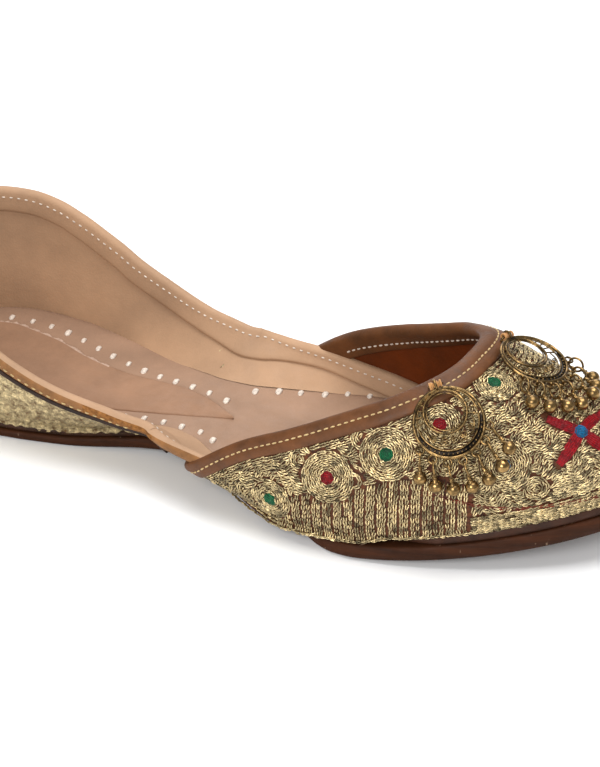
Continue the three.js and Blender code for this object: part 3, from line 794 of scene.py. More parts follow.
class MojariSizes(bpy.types.PropertyGroup):
    """Sizes of the sewing."""

    chain_row: length_property("Chain row", "Distance between rows of chain stitch", 1.14)
    chain_step: length_property("Chain stitch", "Length of one chain stitch", 1.6)
    topstitch: length_property("Topstitch", "Length of one stitch on the bindings", 1.5)
    insole_stitch: length_property("Insole stitch", "Length of one stitch on the insole", 3.3)


def sewing_size(name):
    """One of the sewing sizes, in millimetres."""
    return round(getattr(bpy.context.scene.mojari_sizes, name) / MM, 3)


class MOJARI_OT_sole(bpy.types.Operator):
    """Builds the outsole and the midsole"""

    bl_idname = "mojari.sole"
    bl_label = "Sole"

    def execute(self, context):
        outsole = plate_piece("outsole_leather", plate([
            (1.5, sole_bottom),
            (0.9, lambda s: sole_bottom(s) + 0.12),
            (0.35, lambda s: sole_bottom(s) + 0.6),
            (0.05, lambda s: sole_bottom(s) + 0.35 * (outsole_top(s) - sole_bottom(s))),
            (0.0, lambda s: sole_bottom(s) + 0.6 * (outsole_top(s) - sole_bottom(s))),
            (0.25, lambda s: outsole_top(s) - 0.5),
            (0.6, lambda s: outsole_top(s) - 0.12),
            (1.1, outsole_top),
        ], "outsole"), look("sole"))
        finish_piece(outsole, ["outsole"])
        midsole = plate_piece("midsole_leather", plate([
            (1.9, lambda s: outsole_top(s) + 0.1),
            (1.35, lambda s: outsole_top(s) + GAP),
            (1.0, lambda s: outsole_top(s) + 0.9),
            (1.05, lambda s: midsole_top(s) - 0.45),
            (1.5, lambda s: midsole_top(s) + 0.1),
        ], "midsole"), look("welt"))
        finish_piece(midsole, ["midsole"])
        return {"FINISHED"}


# Upper: stations where the vamp's columns change their spacing, and how far cloth runs under a binding.
VAMP_STATIONS = (119.6, 192, 207)
UNDER_BINDING = 2.0
HIGHEST_CLIMB = 1.98
QUARTER_FRONT = 172
QUARTER_HIDDEN = 118
HANG_FADE = (98, 116)
HEM_REACH = 2.4
HEM_TUCK = 0.15


def vamp_columns(count):
    """Share of each column of the vamp and the climb where it ends under the binding."""
    share = np.concatenate([
        np.linspace(share_of(VAMP_STATIONS[0]), share_of(VAMP_STATIONS[1]), count),
        np.linspace(share_of(VAMP_STATIONS[1]), share_of(VAMP_STATIONS[2]), count)[1:],
        np.linspace(share_of(VAMP_STATIONS[2]), 1.0, count)[1:],
    ])
    return share, climb_to(VAMP_EDGE, UNDER_BINDING, share)


def column_climbs(share, top, rows):
    """Climbs at even steps up each column."""
    climbs = np.empty((len(share), rows))
    for k, (s, end) in enumerate(zip(share, top)):
        dense = np.linspace(0.0, max(end, 0.02), 90)
        points = last_point(np.full_like(dense, s), dense)
        climbs[k] = resample(dense[:, None], points, rows)[:, 0]
    return climbs


def hem(share, side, offset, hang=0.0):
    """Lower edge of the upper: the last's base, dropped beside the soles on the near side."""
    base = skin(share, 0 * share, side, offset)
    drop = hang * (1 - eased(base[:, 0], *HANG_FADE))
    if side < 0:
        drop = np.maximum(drop, near_edge("drop", base[:, 0]))
    base[:, 2] -= drop
    return base


def wall_grid(share, climbs, side, offset, hang=0.0):
    """Columns of the upper's wall, from its hem up."""
    low = hem(share, side, offset, hang)
    return np.concatenate([low[:, None], skin(share[:, None], climbs, side, offset)], 1)


def hem_turn(share, side, offset, hang=0.0):
    """The cloth turned in under the wall, as far as the sole's edge."""
    low = hem(share, side, offset, hang)
    inward = -last_normal(share, 0 * share, side)
    inward[:, 2] = 0
    inward /= np.linalg.norm(inward, axis=1, keepdims=True)
    reach = HEM_REACH + (near_edge("outsole", low[:, 0]) if side < 0 else 0 * share)
    steps = np.array([0.0, 0.12, 0.5, 1.0])
    turned_in = low[:, None] + inward[:, None] * (reach[:, None] * steps)[..., None]
    turned_in[:, 1:, 2] -= HEM_TUCK
    return turned_in


class MOJARI_OT_vamp(bpy.types.Operator):
    """Builds the vamp: ground cloth outside, amber lining inside"""

    bl_idname = "mojari.vamp"
    bl_label = "Vamp"

    def execute(self, context):
        share, top = vamp_columns(70)
        climbs = column_climbs(share, top, 44)
        made = Build()
        for side in (-1, 1):
            made.grid(wall_grid(share, climbs, side, 0.0), 0, side < 0)
            made.grid(wall_grid(share, climbs, side, -VAMP_WALL), 1, side > 0)
            made.grid(hem_turn(share, side, 0.0), 0, side > 0)
        cloth = made.done("vamp_cloth", [look("ground"), look("amber")])
        finish_piece(cloth, ["upper"])
        return {"FINISHED"}


def crinkle(points, side):
    """Lumps of the brocade and the slouched folds at the waist, as offsets."""
    x, z = points[..., 0], points[..., 2]
    lumps = np.sin(1.25 * x + 0.7 * z) * np.sin(0.9 * z - 0.55 * x + side) + 0.6 * np.sin(2.3 * x - 1.9 * z)
    window = np.exp(-((x - 106) / 13) ** 2)
    folds = np.sin(0.95 * x - 1.15 * z) * window
    return 0.26 * lumps + 0.9 * folds


class MOJARI_OT_quarter(bpy.types.Operator):
    """Builds the quarter: brocade outside, tan lining inside"""

    bl_idname = "mojari.quarter"
    bl_label = "Quarter"

    def execute(self, context):
        share = np.linspace(0, share_of(QUARTER_FRONT), 300)
        top = climb_to(COLLAR_EDGE, UNDER_BINDING, share)
        climbs = column_climbs(share, np.minimum(top, HIGHEST_CLIMB), 44)
        made = Build()
        for side in (-1, 1):
            smooth = wall_grid(share, climbs, side, -QUARTER_OUT, QUARTER_HANG)
            out = last_normal(share[:, None], np.concatenate([climbs[:, :1], climbs], 1), side)
            fade = np.clip((share_of(QUARTER_HIDDEN) - share) / 0.02, 0, 1)[:, None]
            rough = smooth + out * (crinkle(smooth, side) * fade - 0.3 * fade)[..., None]
            made.grid(rough, 0, side < 0)
            made.grid(wall_grid(share, climbs, side, -QUARTER_OUT - QUARTER_WALL), 1, side > 0)
            made.grid(hem_turn(share, side, -QUARTER_OUT, QUARTER_HANG), 0, side > 0)
        quarter = made.done("quarter_cloth", [look("brocade"), look("lining")])
        finish_piece(quarter)
        return {"FINISHED"}


def both_sides(line, offset, sides_joined):
    """Points and normals of a line on both sides of the shoe, joined at its end or at its start."""
    share, climb = line[:, 0], line[:, 1]
    near, far = (skin(share, climb, side, offset) for side in (-1, 1))
    near_out, far_out = (last_normal(share, climb, side) for side in (-1, 1))
    if sides_joined == "end":
        return np.concatenate([near, far[::-1][1:]]), np.concatenate([near_out, far_out[::-1][1:]])
    return np.concatenate([near[::-1], far[1:]]), np.concatenate([near_out[::-1], far_out[1:]])


def folded_strip(section, line_at, sides_joined):
    """Grid of points over a folded strip, from the (inset, offset) pairs of its section."""
    lines = {inside: line_at(max(inside, 0.01)) for inside, _ in section}
    return np.array([both_sides(lines[inside], offset, sides_joined)[0] for inside, offset in section])


THROAT_SECTION = (
    (5.8, 0.05), (5.85, 0.6), (5.6, 0.98), (5.1, 1.16), (4.3, 1.22), (3.5, 1.2), (3.0, 1.02), (2.5, 1.2),
    (1.9, 1.24), (1.3, 1.16), (0.7, 0.85), (0.25, 0.35), (0.03, -0.3), (0.0, -0.8), (0.03, -1.3),
    (0.25, -1.95), (0.7, -2.45), (1.4, -2.72), (2.6, -2.8), (4.0, -2.8), (6.2, -2.8), (7.8, -2.72),
    (8.3, -2.5), (8.5, -2.1), (8.5, -1.6),
)
COLLAR_SECTION = (
    (3.9, -1.5), (3.95, -0.9), (3.75, -0.52), (3.3, -0.36), (2.7, -0.3), (2.0, -0.3), (1.3, -0.36),
    (0.75, -0.62), (0.28, -1.1), (0.04, -1.7), (0.0, -2.2), (0.04, -2.7), (0.28, -3.3), (0.8, -3.78),
    (1.6, -4.04), (3.2, -4.1), (5.4, -4.1), (7.2, -4.04), (7.9, -3.86), (8.15, -3.5), (8.1, -2.9),
)
THROAT_STEPS = 150
COLLAR_STEPS = 230
COLLAR_TURN = 8
BARE_WAIST = (119, 84)
PIPING_INSIDE = 4.95
PIPING_OFFSET = -0.75
PIPING_RADIUS = 0.8


class MOJARI_OT_bindings(bpy.types.Operator):
    """Builds the throat binding, the collar binding and the piping"""

    bl_idname = "mojari.bindings"
    bl_label = "Bindings"

    def execute(self, context):
        made = Build()
        made.grid(folded_strip(THROAT_SECTION, lambda inside: throat_line(inside, THROAT_STEPS), "end"))
        throat = made.done("throat_binding_leather", [look("binding")], weld=0.002)
        finish_piece(throat, ["throat_binding"])
        rows = folded_strip(COLLAR_SECTION, lambda inside: collar_line(inside, COLLAR_STEPS), "start")
        first, last = (COLLAR_STEPS - 1 - int(COLLAR_STEPS * share_of(s) / COLLAR_FRONT) for s in BARE_WAIST)
        outer = rows[: COLLAR_TURN + 1]
        made = Build()
        made.grid(outer[:, : first + 1], 0)
        made.grid(outer[:, first : last + 1], 2)
        made.grid(outer[:, last:], 0)
        made.grid(rows[COLLAR_TURN:], 1)
        collar = made.done("collar_binding_leather", [look("collar"), look("lining"), look("suede")])
        finish_piece(collar, ["collar_binding"])
        centre, _ = both_sides(collar_line(PIPING_INSIDE, 260, share_of(124)), PIPING_OFFSET, "start")
        around = np.linspace(0, 2 * math.pi, 10, endpoint=False)
        made = Build()
        made.grid(tube_rows(centre, PIPING_RADIUS, around), close_columns=True)
        piping = made.done("collar_piping_cord", [look("piping")], weld=0.002)
        finish_piece(piping, ["collar_piping"])
        return {"FINISHED"}


def tube_rows(centre, radius, around):
    """Rings of a tube along a line."""
    along = np.gradient(centre, axis=0)
    along /= np.linalg.norm(along, axis=1, keepdims=True) + 1e-12
    across = np.cross(along, np.array([0.0, 0.0, 1.0]))
    across /= np.linalg.norm(across, axis=1, keepdims=True) + 1e-12
    up = np.cross(across, along)
    ring = np.cos(around)[None, :, None] * across[:, None] + np.sin(around)[None, :, None] * up[:, None]
    return centre[:, None] + radius * ring


def insole_outline():
    """Where the lining meets the top of the insole, on the +Y side, before the toe's swing."""
    share = np.linspace(0, 1, OUTLINE_STEPS)
    offset = -2.75 + 1.3 * eased(station_at(share), 168, 178)
    low = np.zeros_like(share)
    high = np.full_like(share, 0.9)
    for _ in range(30):
        middle = (low + high) / 2
        points = last_point(share, middle) + last_normal(share, middle, 1) * offset[:, None]
        above = points[:, 2] > insole_top(points[:, 0]) - 0.2
        high = np.where(above, middle, high)
        low = np.where(above, low, middle)
    points = last_point(share, low) + last_normal(share, low, 1) * offset[:, None]
    points[0, 1] = 0
    points[-1, 1] = 0
    return points


INSOLE_LEVELS = ((0.9, -INSOLE), (-0.5, -0.5), (-1.0, -0.15), (-0.9, 0.0))


def pad_outline():
    """Station and half width round the heel pad, ragged at its rear."""
    turn = np.linspace(0, math.pi / 2, 60)
    station = np.concatenate([12 + 18 * (1 - np.cos(turn)), np.linspace(30, 122, 120)[1:]])
    half = np.concatenate([20.6 * np.sin(turn), follow(PAD_OUTLINE, station[60:])])
    rag = 0.45 * np.sin(1.7 * station + 3 * half) + 0.3 * np.sin(4.3 * station + half)
    rag = rag * np.clip((78 - station) / 20, 0.12, 1) * np.clip(half / 4, 0, 1)
    return station, half, rag


TORN_FRONT = 70.0
PAD_LEVELS = ((0.0, -0.3), (0.0, 0.5), (0.5, 0.95), (1.3, 1.08), (4.0, 1.04), (30.0, 1.04))


class MOJARI_OT_insole(bpy.types.Operator):
    """Builds the insole and the heel pad"""

    bl_idname = "mojari.insole"
    bl_label = "Insole"

    def execute(self, context):
        edge = insole_outline()
        rows = []
        for inset, lift in INSOLE_LEVELS:
            level = edge.copy()
            flare = np.clip(wall("spread", level[:, 0]) / 18, 0, 1)
            reach = inset if inset > 0 else inset * (0.3 + 0.9 * flare)
            level[:, 1] = np.maximum(0, level[:, 1] - reach)
            level[:, 2] = insole_top(level[:, 0]) + lift
            rows.append(np.concatenate([swung(level, -1), swung(level, 1)[::-1][1:-1]]))
        insole = plate_piece("insole_leather", np.array(rows), look("insole"), 16)
        finish_piece(insole, ["insole"])
        station, half, rag = pad_outline()
        rows = []
        for inset, lift in PAD_LEVELS:
            width = np.maximum(0, half + rag * (inset < 1) - inset * np.minimum(1, half / 6))
            z = insole_top(station) + lift
            thin = lift * 0.55 * eased(station, 40, 80) * (inset < 2) * (lift > 0)
            near = np.stack([station, -width - 2, z - thin], -1)
            far = np.stack([station, width - 2, z], -1)
            rows.append(np.concatenate([near, far[::-1][1:-1]]))
        rim = np.array(rows[:4])
        torn = len(station) + int((station[1:-1][::-1] > TORN_FRONT).sum())
        made = Build()
        made.grid(rim[:, : torn + 1], 0)
        made.grid(np.concatenate([rim[:, torn:], rim[:, :1]], 1), 1)
        made.grid(np.array(rows[3:]), 0, close_columns=True)
        pad = made.done("heel_pad_leather", [look("pad"), look("torn")])
        finish_piece(pad, ["heel_pad"])
        return {"FINISHED"}


# Sewing.


def stitch_mesh(name, sections):
    """A thread stitch of unit length along X, with its ends sunk."""
    sides = 8
    arch = 0.35
    made = Build()
    rows = []
    for t in np.linspace(-0.5, 0.5, sections):
        fat = 0.5 * math.sqrt(max(0.05, 1 - (2 * t) ** 4))
        lift = arch * math.cos(math.pi * t) - 0.15
        ring = np.linspace(0, 2 * math.pi, sides, endpoint=False)
        rows.append(np.stack([np.full(sides, t), fat * np.cos(ring), lift + fat * np.sin(ring)], -1))
    made.grid(np.array(rows), close_columns=True, flip=True)
    points = np.concatenate(made.points)
    return new_object(name, points, made.faces, [])


def chain_mesh(name):
    """One link of chain stitch of unit length along X: two threads that bow apart."""
    made = Build()
    ring = np.linspace(0, 2 * math.pi, 4, endpoint=False) + math.pi / 4
    for hand in (-1, 1):
        rows = []
        for t in np.linspace(0, 1, 5):
            bow = hand * (0.1 + 0.21 * math.sin(math.pi * 0.56 * t))
            lift = 0.02 + 0.24 * math.sin(math.pi * (0.12 + 0.74 * t))
            fat = 0.19 if 0 < t < 1 else 0.13
            rows.append(np.stack([
                np.full(4, 1.22 * (t - 0.5)), bow + fat * np.cos(ring), lift + fat * np.sin(ring),
            ], -1))
        made.grid(np.array(rows), close_columns=True, flip=True)
    return new_object(name, np.concatenate(made.points), made.faces, [])


def stitch_tree(name, unit, material):
    """Nodes that set one unit on every point, turned and sized by the points' own attributes."""
    tree = bpy.data.node_groups.new(name, "GeometryNodeTree")
    tree.interface.new_socket("Geometry", in_out="INPUT", socket_type="NodeSocketGeometry")
    for label, default in (("Length", 0.002), ("Width", 0.001), ("Height", 0.0006), ("Vary", 0.1)):
        socket = tree.interface.new_socket(label, in_out="INPUT", socket_type="NodeSocketFloat")
        socket.default_value = default
    tree.interface.new_socket("Seed", in_out="INPUT", socket_type="NodeSocketInt").default_value = 7
    tree.interface.new_socket("Geometry", in_out="OUTPUT", socket_type="NodeSocketGeometry")
    make = tree.nodes.new
    link = tree.links.new

    def stored(name, kind):
        made = make("GeometryNodeInputNamedAttribute")
        made.data_type = kind
        made.inputs["Name"].default_value = name
        return made.outputs["Attribute"]

    start = make("NodeGroupInput")
    end = make("NodeGroupOutput")
    info = make("GeometryNodeObjectInfo")
    info.inputs["Object"].default_value = unit
    vary = make("FunctionNodeRandomValue")
    vary.data_type = "FLOAT"
    for operation, socket in (("SUBTRACT", 2), ("ADD", 3)):
        bound = make("ShaderNodeMath")
        bound.operation = operation
        bound.inputs[0].default_value = 1.0
        link(start.outputs["Vary"], bound.inputs[1])
        link(bound.outputs[0], vary.inputs[socket])
    link(start.outputs["Seed"], vary.inputs["Seed"])
    pack = make("ShaderNodeCombineXYZ")
    for label, axis in (("Length", "X"), ("Width", "Y"), ("Height", "Z")):
        link(start.outputs[label], pack.inputs[axis])
    grow = make("ShaderNodeVectorMath")
    grow.operation = "SCALE"
    link(pack.outputs[0], grow.inputs[0])
    both = make("ShaderNodeMath")
    both.operation = "MULTIPLY"
    link(stored("size", "FLOAT"), both.inputs[0])
    link(vary.outputs[1], both.inputs[1])
    link(both.outputs[0], grow.inputs["Scale"])
    to_points = make("GeometryNodeMeshToPoints")
    link(start.outputs["Geometry"], to_points.inputs["Mesh"])
    place = make("GeometryNodeInstanceOnPoints")
    link(to_points.outputs["Points"], place.inputs["Points"])
    link(info.outputs["Geometry"], place.inputs["Instance"])
    link(stored("turn", "FLOAT_VECTOR"), place.inputs["Rotation"])
    link(grow.outputs["Vector"], place.inputs["Scale"])
    real = make("GeometryNodeRealizeInstances")
    link(place.outputs["Instances"], real.inputs["Geometry"])
    paint = make("GeometryNodeSetMaterial")
    paint.inputs["Material"].default_value = material
    link(real.outputs["Geometry"], paint.inputs["Geometry"])
    link(paint.outputs["Geometry"], end.inputs["Geometry"])
    return tree


def angles(along, out):
    """Euler angles that lay X along one direction and Z along another."""
    along = along / (np.linalg.norm(along, axis=1, keepdims=True) + 1e-12)
    out = out - along * (along * out).sum(1, keepdims=True)
    out = out / (np.linalg.norm(out, axis=1, keepdims=True) + 1e-12)
    across = np.cross(out, along)
    pitch = -np.arcsin(np.clip(along[:, 2], -1, 1))
    yaw = np.arctan2(along[:, 1], along[:, 0])
    roll = np.arctan2(across[:, 2], out[:, 2])
    return np.stack([roll, pitch, yaw], -1)


def sew(name, seeds, unit, material, length, width, height, vary=0.06, extra=None):
    """Stitches at seeds, each a point, a direction, an outward normal and a size."""
    points = to_frame(np.array([s[0] for s in seeds]))
    turns = angles(np.array([s[1] for s in seeds]), np.array([s[2] for s in seeds]))
    mesh = bpy.data.meshes.new(name)
    mesh.from_pydata([tuple(p) for p in points], [], [])
    mesh.attributes.new("turn", "FLOAT_VECTOR", "POINT").data.foreach_set("vector", turns.ravel())
    mesh.attributes.new("size", "FLOAT", "POINT").data.foreach_set("value", [float(s[3]) for s in seeds])
    for key, (kind, field, values) in (extra or {}).items():
        mesh.attributes.new(key, kind, "POINT").data.foreach_set(field, np.asarray(values, float).ravel())
    obj = bpy.data.objects.new(name, mesh)
    bpy.context.scene.collection.objects.link(obj)
    tree = stitch_tree(name + "_nodes", unit, material)
    modifier = obj.modifiers.new("Stitches", "NODES")
    modifier.node_group = tree
    values = {"Length": length * MM, "Width": width * MM, "Height": height * MM, "Vary": vary}
    for item in tree.interface.items_tree:
        if item.item_type == "SOCKET" and item.in_out == "INPUT" and item.name in values:
            modifier[item.identifier] = values[item.name]
    graph = bpy.context.evaluated_depsgraph_get()
    plain = bpy.data.meshes.new_from_object(obj.evaluated_get(graph))
    obj.modifiers.clear()
    obj.data = plain
    plain.polygons.foreach_set("use_smooth", [True] * len(plain.polygons))
    plain.update()
    return finish_piece(obj)


def along_line(points, normals, step, size=1.0):
    """Seeds at even steps along a line of points."""
    length = np.concatenate([[0], np.cumsum(np.linalg.norm(np.diff(points, axis=0), axis=1))])
    count = max(2, int(length[-1] / step))
    at = (np.arange(count) + 0.5) * length[-1] / count
    place = np.stack([np.interp(at, length, points[:, k]) for k in range(3)], -1)
    out = np.stack([np.interp(at, length, normals[:, k]) for k in range(3)], -1)
    ahead = np.stack([np.interp(at + 0.2, length, points[:, k]) for k in range(3)], -1)
    back = np.stack([np.interp(at - 0.2, length, points[:, k]) for k in range(3)], -1)
    direction = ahead - back
    return [(place[k], direction[k], out[k], size) for k in range(count)]


# Rows of topstitch: inset of the line, offset from the last, gap after each stitch.
THROAT_OUTER_ROW = (3.0, 1.06, 0.65)
COLLAR_OUTER_ROW = (2.5, -0.3, 1.1)
THROAT_INNER_ROW = (5.2, -2.78, 0.7)
COLLAR_INNER_ROW = (3.0, -4.08, 1.0)
ROW_STEPS = 300
OUTER_ROW_END = 100
CLEAR_OF_COLLAR = 1.5
# Insole stitches: lean, and station and side of each one.
STITCH_LEAN = 0.2
INSOLE_FAR = (
    (17, 18.6), (24, 21.4), (31.4, 22.6), (38.6, 22.8), (45.6, 22), (52.6, 20.4), (59.6, 18.4), (66.4, 16.4),
    (73.4, 14.6), (80.4, 12.8), (87.4, 11), (94.2, 9.6), (101.2, 8.2), (108, 7), (115, 5.7),
)
FOREFOOT_FAR = (
    (120, 15.2), (126, 19.7), (132, 23.1), (138.7, 26.8), (144.7, 30.8), (151.4, 33.1), (159, 34),
    (167, 34), (175, 33.4), (183, 32.4),
)
INSOLE_NEAR = (
    (20, -20), (27, -22), (34, -23), (41, -23), (48, -22.4), (55, -21), (62, -19.4), (69, -17.8), (76, -16.4),
    (83, -15.4), (90, -14.8), (97, -14.4), (104, -14.2), (110.5, -14.1), (117, -13.7), (122.3, -15.3),
    (128, -20), (134, -24), (140, -27.6), (146.6, -31), (153, -33), (161, -34), (169, -34), (177, -33),
)


class MOJARI_OT_sewing(bpy.types.Operator):
    """Sews the bindings and the insole"""

    bl_idname = "mojari.sewing"
    bl_label = "Sewing"

    def execute(self, context):
        unit = stitch_mesh("stitch_unit", 7)
        step = sewing_size("topstitch")
        seeds = []
        inside, offset, gap = THROAT_OUTER_ROW
        points, out = both_sides(throat_line(inside, ROW_STEPS), offset, "end")
        seeds += along_line(points, out, step + gap)
        inside, offset, gap = COLLAR_OUTER_ROW
        points, out = both_sides(collar_line(inside, ROW_STEPS, share_of(OUTER_ROW_END)), offset, "start")
        seeds += along_line(points, out, step + gap)
        sew("binding_topstitch", seeds, unit, look("gilt"), step, 0.5, 0.5)
        seeds = []
        inside, offset, gap = THROAT_INNER_ROW
        points, out = both_sides(throat_line(inside, ROW_STEPS), offset, "end")
        row = along_line(points, -out, step + gap)
        seeds += [s for s in row if behind(COLLAR_EDGE, s[0]) > CLEAR_OF_COLLAR]
        inside, offset, gap = COLLAR_INNER_ROW
        points, out = both_sides(collar_line(inside, ROW_STEPS), offset, "start")
        seeds += along_line(points, -out, step + gap, 0.8)
        sew("lining_topstitch", seeds, unit, look("white"), step, 0.62, 0.55)
        seeds = []
        for row in (INSOLE_FAR, FOREFOOT_FAR, INSOLE_NEAR):
            for x, y in row:
                slope = float(insole_top(x + 1) - insole_top(x - 1)) / 2
                direction = np.array([-STITCH_LEAN, 1.0, -STITCH_LEAN * slope])
                place = np.array([x, y, float(insole_top(x)) + 0.02])
                seeds.append((place, direction, np.array([-slope, 0.0, 1.0]), 1.0))
        length = sewing_size("insole_stitch")
        sew("insole_stitches", seeds, unit, look("white"), length, 1.8, 1.0, 0.14)
        bpy.data.objects.remove(unit)
        return {"FINISHED"}


# Embroidery: motif centres as station and height on each side, with the radius of the coils round each.
CRIMSON = (0.5, 0.0, 0.05)
GREEN = (0.0, 0.32, 0.18)
TURQUOISE = (0.0, 0.34, 0.5)
COPPER = (0.42, 0.17, 0.09)
MOTIFS = (
    (156.6, 15.1, 7.0, GREEN),
    (174.7, 27.4, 8.2, CRIMSON),
    (191.0, 37.4, 8.2, GREEN),
    (203.6, 46.4, 7.0, CRIMSON),
    (222.6, 36.5, 7.6, TURQUOISE),
)
SWIRLS = ((165.5, 30.5, 3.6), (183.0, 40.6, 3.4), (182.5, 28.0, 3.2), (207.5, 36.5, 4.6), (231.5, 29.5, 4.2))
RIDGE_MOTIFS = ((211.3, -4.3, 6.8, GREEN), (238.6, -2.4, 1.6, TURQUOISE))
CROSS_ARMS = ((229.4, -5.2), (236.3, -11.2), (247.4, -0.6), (239.8, 9.3))
ARM_HALF = 1.2
FRINGE_TOP = np.array([(157, 13), (166.5, 19.5), (181.7, 24.7), (195.7, 30.2), (206, 31.5), (216, 30)])
COPPER_ROW = ((205, 27.5), (211, 25.1), (219.5, 23.2), (227.9, 22.7), (237.6, 23.8), (246.2, 25))
FRINGE_PITCH = (1.4, 1.85)
FRINGE_ENDS = (158.0, 216.0)
HEM_ROWS = 6
CLEAR_OF_SHOE = 120.0
COIL_ROW = 1.12
COIL_START = {"dot": 2.5, "plain": 0.8}
DOT = {"radius": 1.5, "step": 1.1, "row": 0.55, "inner": 0.3}
DOT_LIFT = 0.3
EMBROIDERY_SEED = 11


class Cloth:
    """The vamp's outer face, for setting stitches on it."""

    def __init__(self):
        share, top = vamp_columns(50)
        climbs = column_climbs(share, top, 34)
        made = Build()
        for side in (-1, 1):
            made.grid(wall_grid(share, climbs, side, 0.0), 0, side < 0)
        points = [Vector(p) for p in np.concatenate(made.points)]
        self.tree = BVHTree.FromPolygons(points, made.faces)

    def nearest(self, point):
        place, normal, _, _ = self.tree.find_nearest(Vector(point))
        return np.array(place), outward(np.array(normal), np.array(place))

    def hit(self, start, direction):
        place, normal, _, _ = self.tree.ray_cast(Vector(start), Vector(direction))
        if place is None:
            raise RuntimeError(f"No cloth lies beyond {start}")
        return np.array(place), outward(np.array(normal), np.array(place))

    def down(self, station, side):
        return self.hit((station, side, CLEAR_OF_SHOE), (0, 0, -1))

    def beside(self, station, height, side):
        return self.hit((station, side * CLEAR_OF_SHOE, height), (0, -side, 0))


def outward(normal, point):
    """A normal that points away from the shoe's middle line."""
    inside = np.array([point[0] - 3, float(swing(point[0])), 12.0])
    return normal if np.dot(normal, point - inside) > 0 else -normal


def coil(cloth, centre, normal, radius, step, row, inner):
    """Seeds of rings of chain stitch round a centre."""
    helper = np.array([0.0, 0.0, 1.0]) if abs(normal[2]) < 0.9 else np.array([1.0, 0.0, 0.0])
    u = np.cross(helper, normal)
    u /= np.linalg.norm(u)
    v = np.cross(normal, u)
    seeds = []
    for r in np.arange(inner, radius + 0.01, row):
        count = max(3, int(round(2 * math.pi * r / step)))
        for k in range(count):
            a = 2 * math.pi * (k + 0.37 * r) / count
            spot = centre + r * (math.cos(a) * u + math.sin(a) * v)
            place, out = cloth.nearest(spot)
            if np.linalg.norm(place - spot) < 3.5:
                place = place + out * max(0.0, float(np.dot(centre - place, out))) * (radius < 2)
                seeds.append((place, -math.sin(a) * u + math.cos(a) * v, out, 1.0))
    return seeds


def on_wall(share, heights, side):
    """Points and normals up one column of the wall, at heights over its base."""
    column = np.full_like(heights, share)
    climbs = np.linspace(0, 1.9, 120)
    line = last_point(np.full_like(climbs, share), climbs)
    climb = np.interp(heights, line[:, 2] - line[0, 2], climbs)
    points = skin(column, climb, side)
    if side < 0:
        points[:, 2] -= np.where(heights < 0, -heights, 0)
    return points, last_normal(column, climb, side)


def fringe(step):
    """Seeds of upright pairs of rows that rise from the hem."""
    seeds = []
    for side in (-1, 1):
        station = FRINGE_ENDS[0]
        pair = 0
        while station < FRINGE_ENDS[1]:
            share = share_of(station) if station < STRAIGHT_END else toe_share(station)
            foot = float(midsole_top(station))
            drop = float(near_edge("drop", station)) if side < 0 else 0.0
            heights = np.arange(0.4 - drop, follow(FRINGE_TOP, station) - foot, 0.4)
            points, out = on_wall(share, heights, side)
            seeds += along_line(points, out, step)
            station += FRINGE_PITCH[pair]
            pair = 1 - pair
    return seeds


def hem_rows(step, row):
    """Seeds of rows along the hem: one all the way, more at the toe."""
    seeds = []
    for side in (-1, 1):
        for k in range(HEM_ROWS):
            share = np.linspace(share_of(124) if k == 0 else toe_share(216.5), 1.0, 200)
            points = skin(share, np.clip((0.5 + row * k) / wall("rise", station_at(share)), 0, 1), side)
            if k == 0:
                points[:, 2] = hem(share, side, 0.0)[:, 2] + 0.5
            seeds += along_line(points, last_normal(share, 0 * share, side), step)
    for k in (1, 2):
        share = np.linspace(share_of(126), share_of(158), 90)
        points = hem(share, -1, 0.0)
        points[:, 2] += 0.5 + row * k
        seeds += along_line(points, last_normal(share, 0 * share, -1), step)
    return seeds


class Pattern:
    """Which places on the vamp are already taken by motifs."""

    def __init__(self, centres, arms):
        self.spots = np.array([c[0] for c in centres])
        self.reach = np.array([c[2] for c in centres])
        self.arms = arms

    def clear_of_coils(self, point, rank=None):
        near = np.linalg.norm(self.spots[:rank] - point, axis=1) < self.reach[:rank] + 0.45
        return not near.any()

    def clear_of_cross(self, point):
        for a, b in self.arms:
            t = np.clip(np.dot(point - a, b - a) / np.dot(b - a, b - a), 0, 1)
            if np.linalg.norm(a + t * (b - a) - point) < ARM_HALF + 0.7:
                return False
        return True

    def clear_of_edges(self, point):
        if point[0] > 214 and point[2] < midsole_top(point[0]) + 1.2 * HEM_ROWS:
            return False
        return not (157 < point[0] < 216 and point[2] < follow(FRINGE_TOP, point[0]) + 0.5)


def filler(step, row):
    """Seeds of rows that run beside the throat over the whole vamp."""
    seeds = []
    for inside in np.arange(6.5, 75, row):
        line = throat_line(inside, 260)
        if line is None:
            continue
        points, out = both_sides(line, 0.0, "end")
        for place, direction, normal, size in along_line(points, out, step):
            bend = math.sin(0.74 * place[0] + 0.5 * place[2]) * math.sin(0.62 * place[1] - 0.47 * place[0])
            if inside < 8.5:
                bend = 0.0
            direction = direction / (np.linalg.norm(direction) + 1e-9)
            across = np.cross(normal, direction)
            seeds.append((place, direction * math.cos(bend) + across * math.sin(bend), normal, size))
    return seeds


def petal(cloth, start, end, normal):
    """Seeds of rows of silk that fill one arm of the cross."""
    seeds = []
    length = np.linalg.norm(end - start)
    across = np.cross((end - start) / length, normal)
    for t in np.arange(0.14, 1.0, 1.0 / length):
        half = ARM_HALF * math.sin(math.pi * min(1, 0.2 + 0.72 * t)) ** 0.6
        for w in np.linspace(-half, half, 5):
            place, out = cloth.nearest(start + t * (end - start) + across * w)
            seeds.append((place, end - start, out, 1.0))
    return seeds


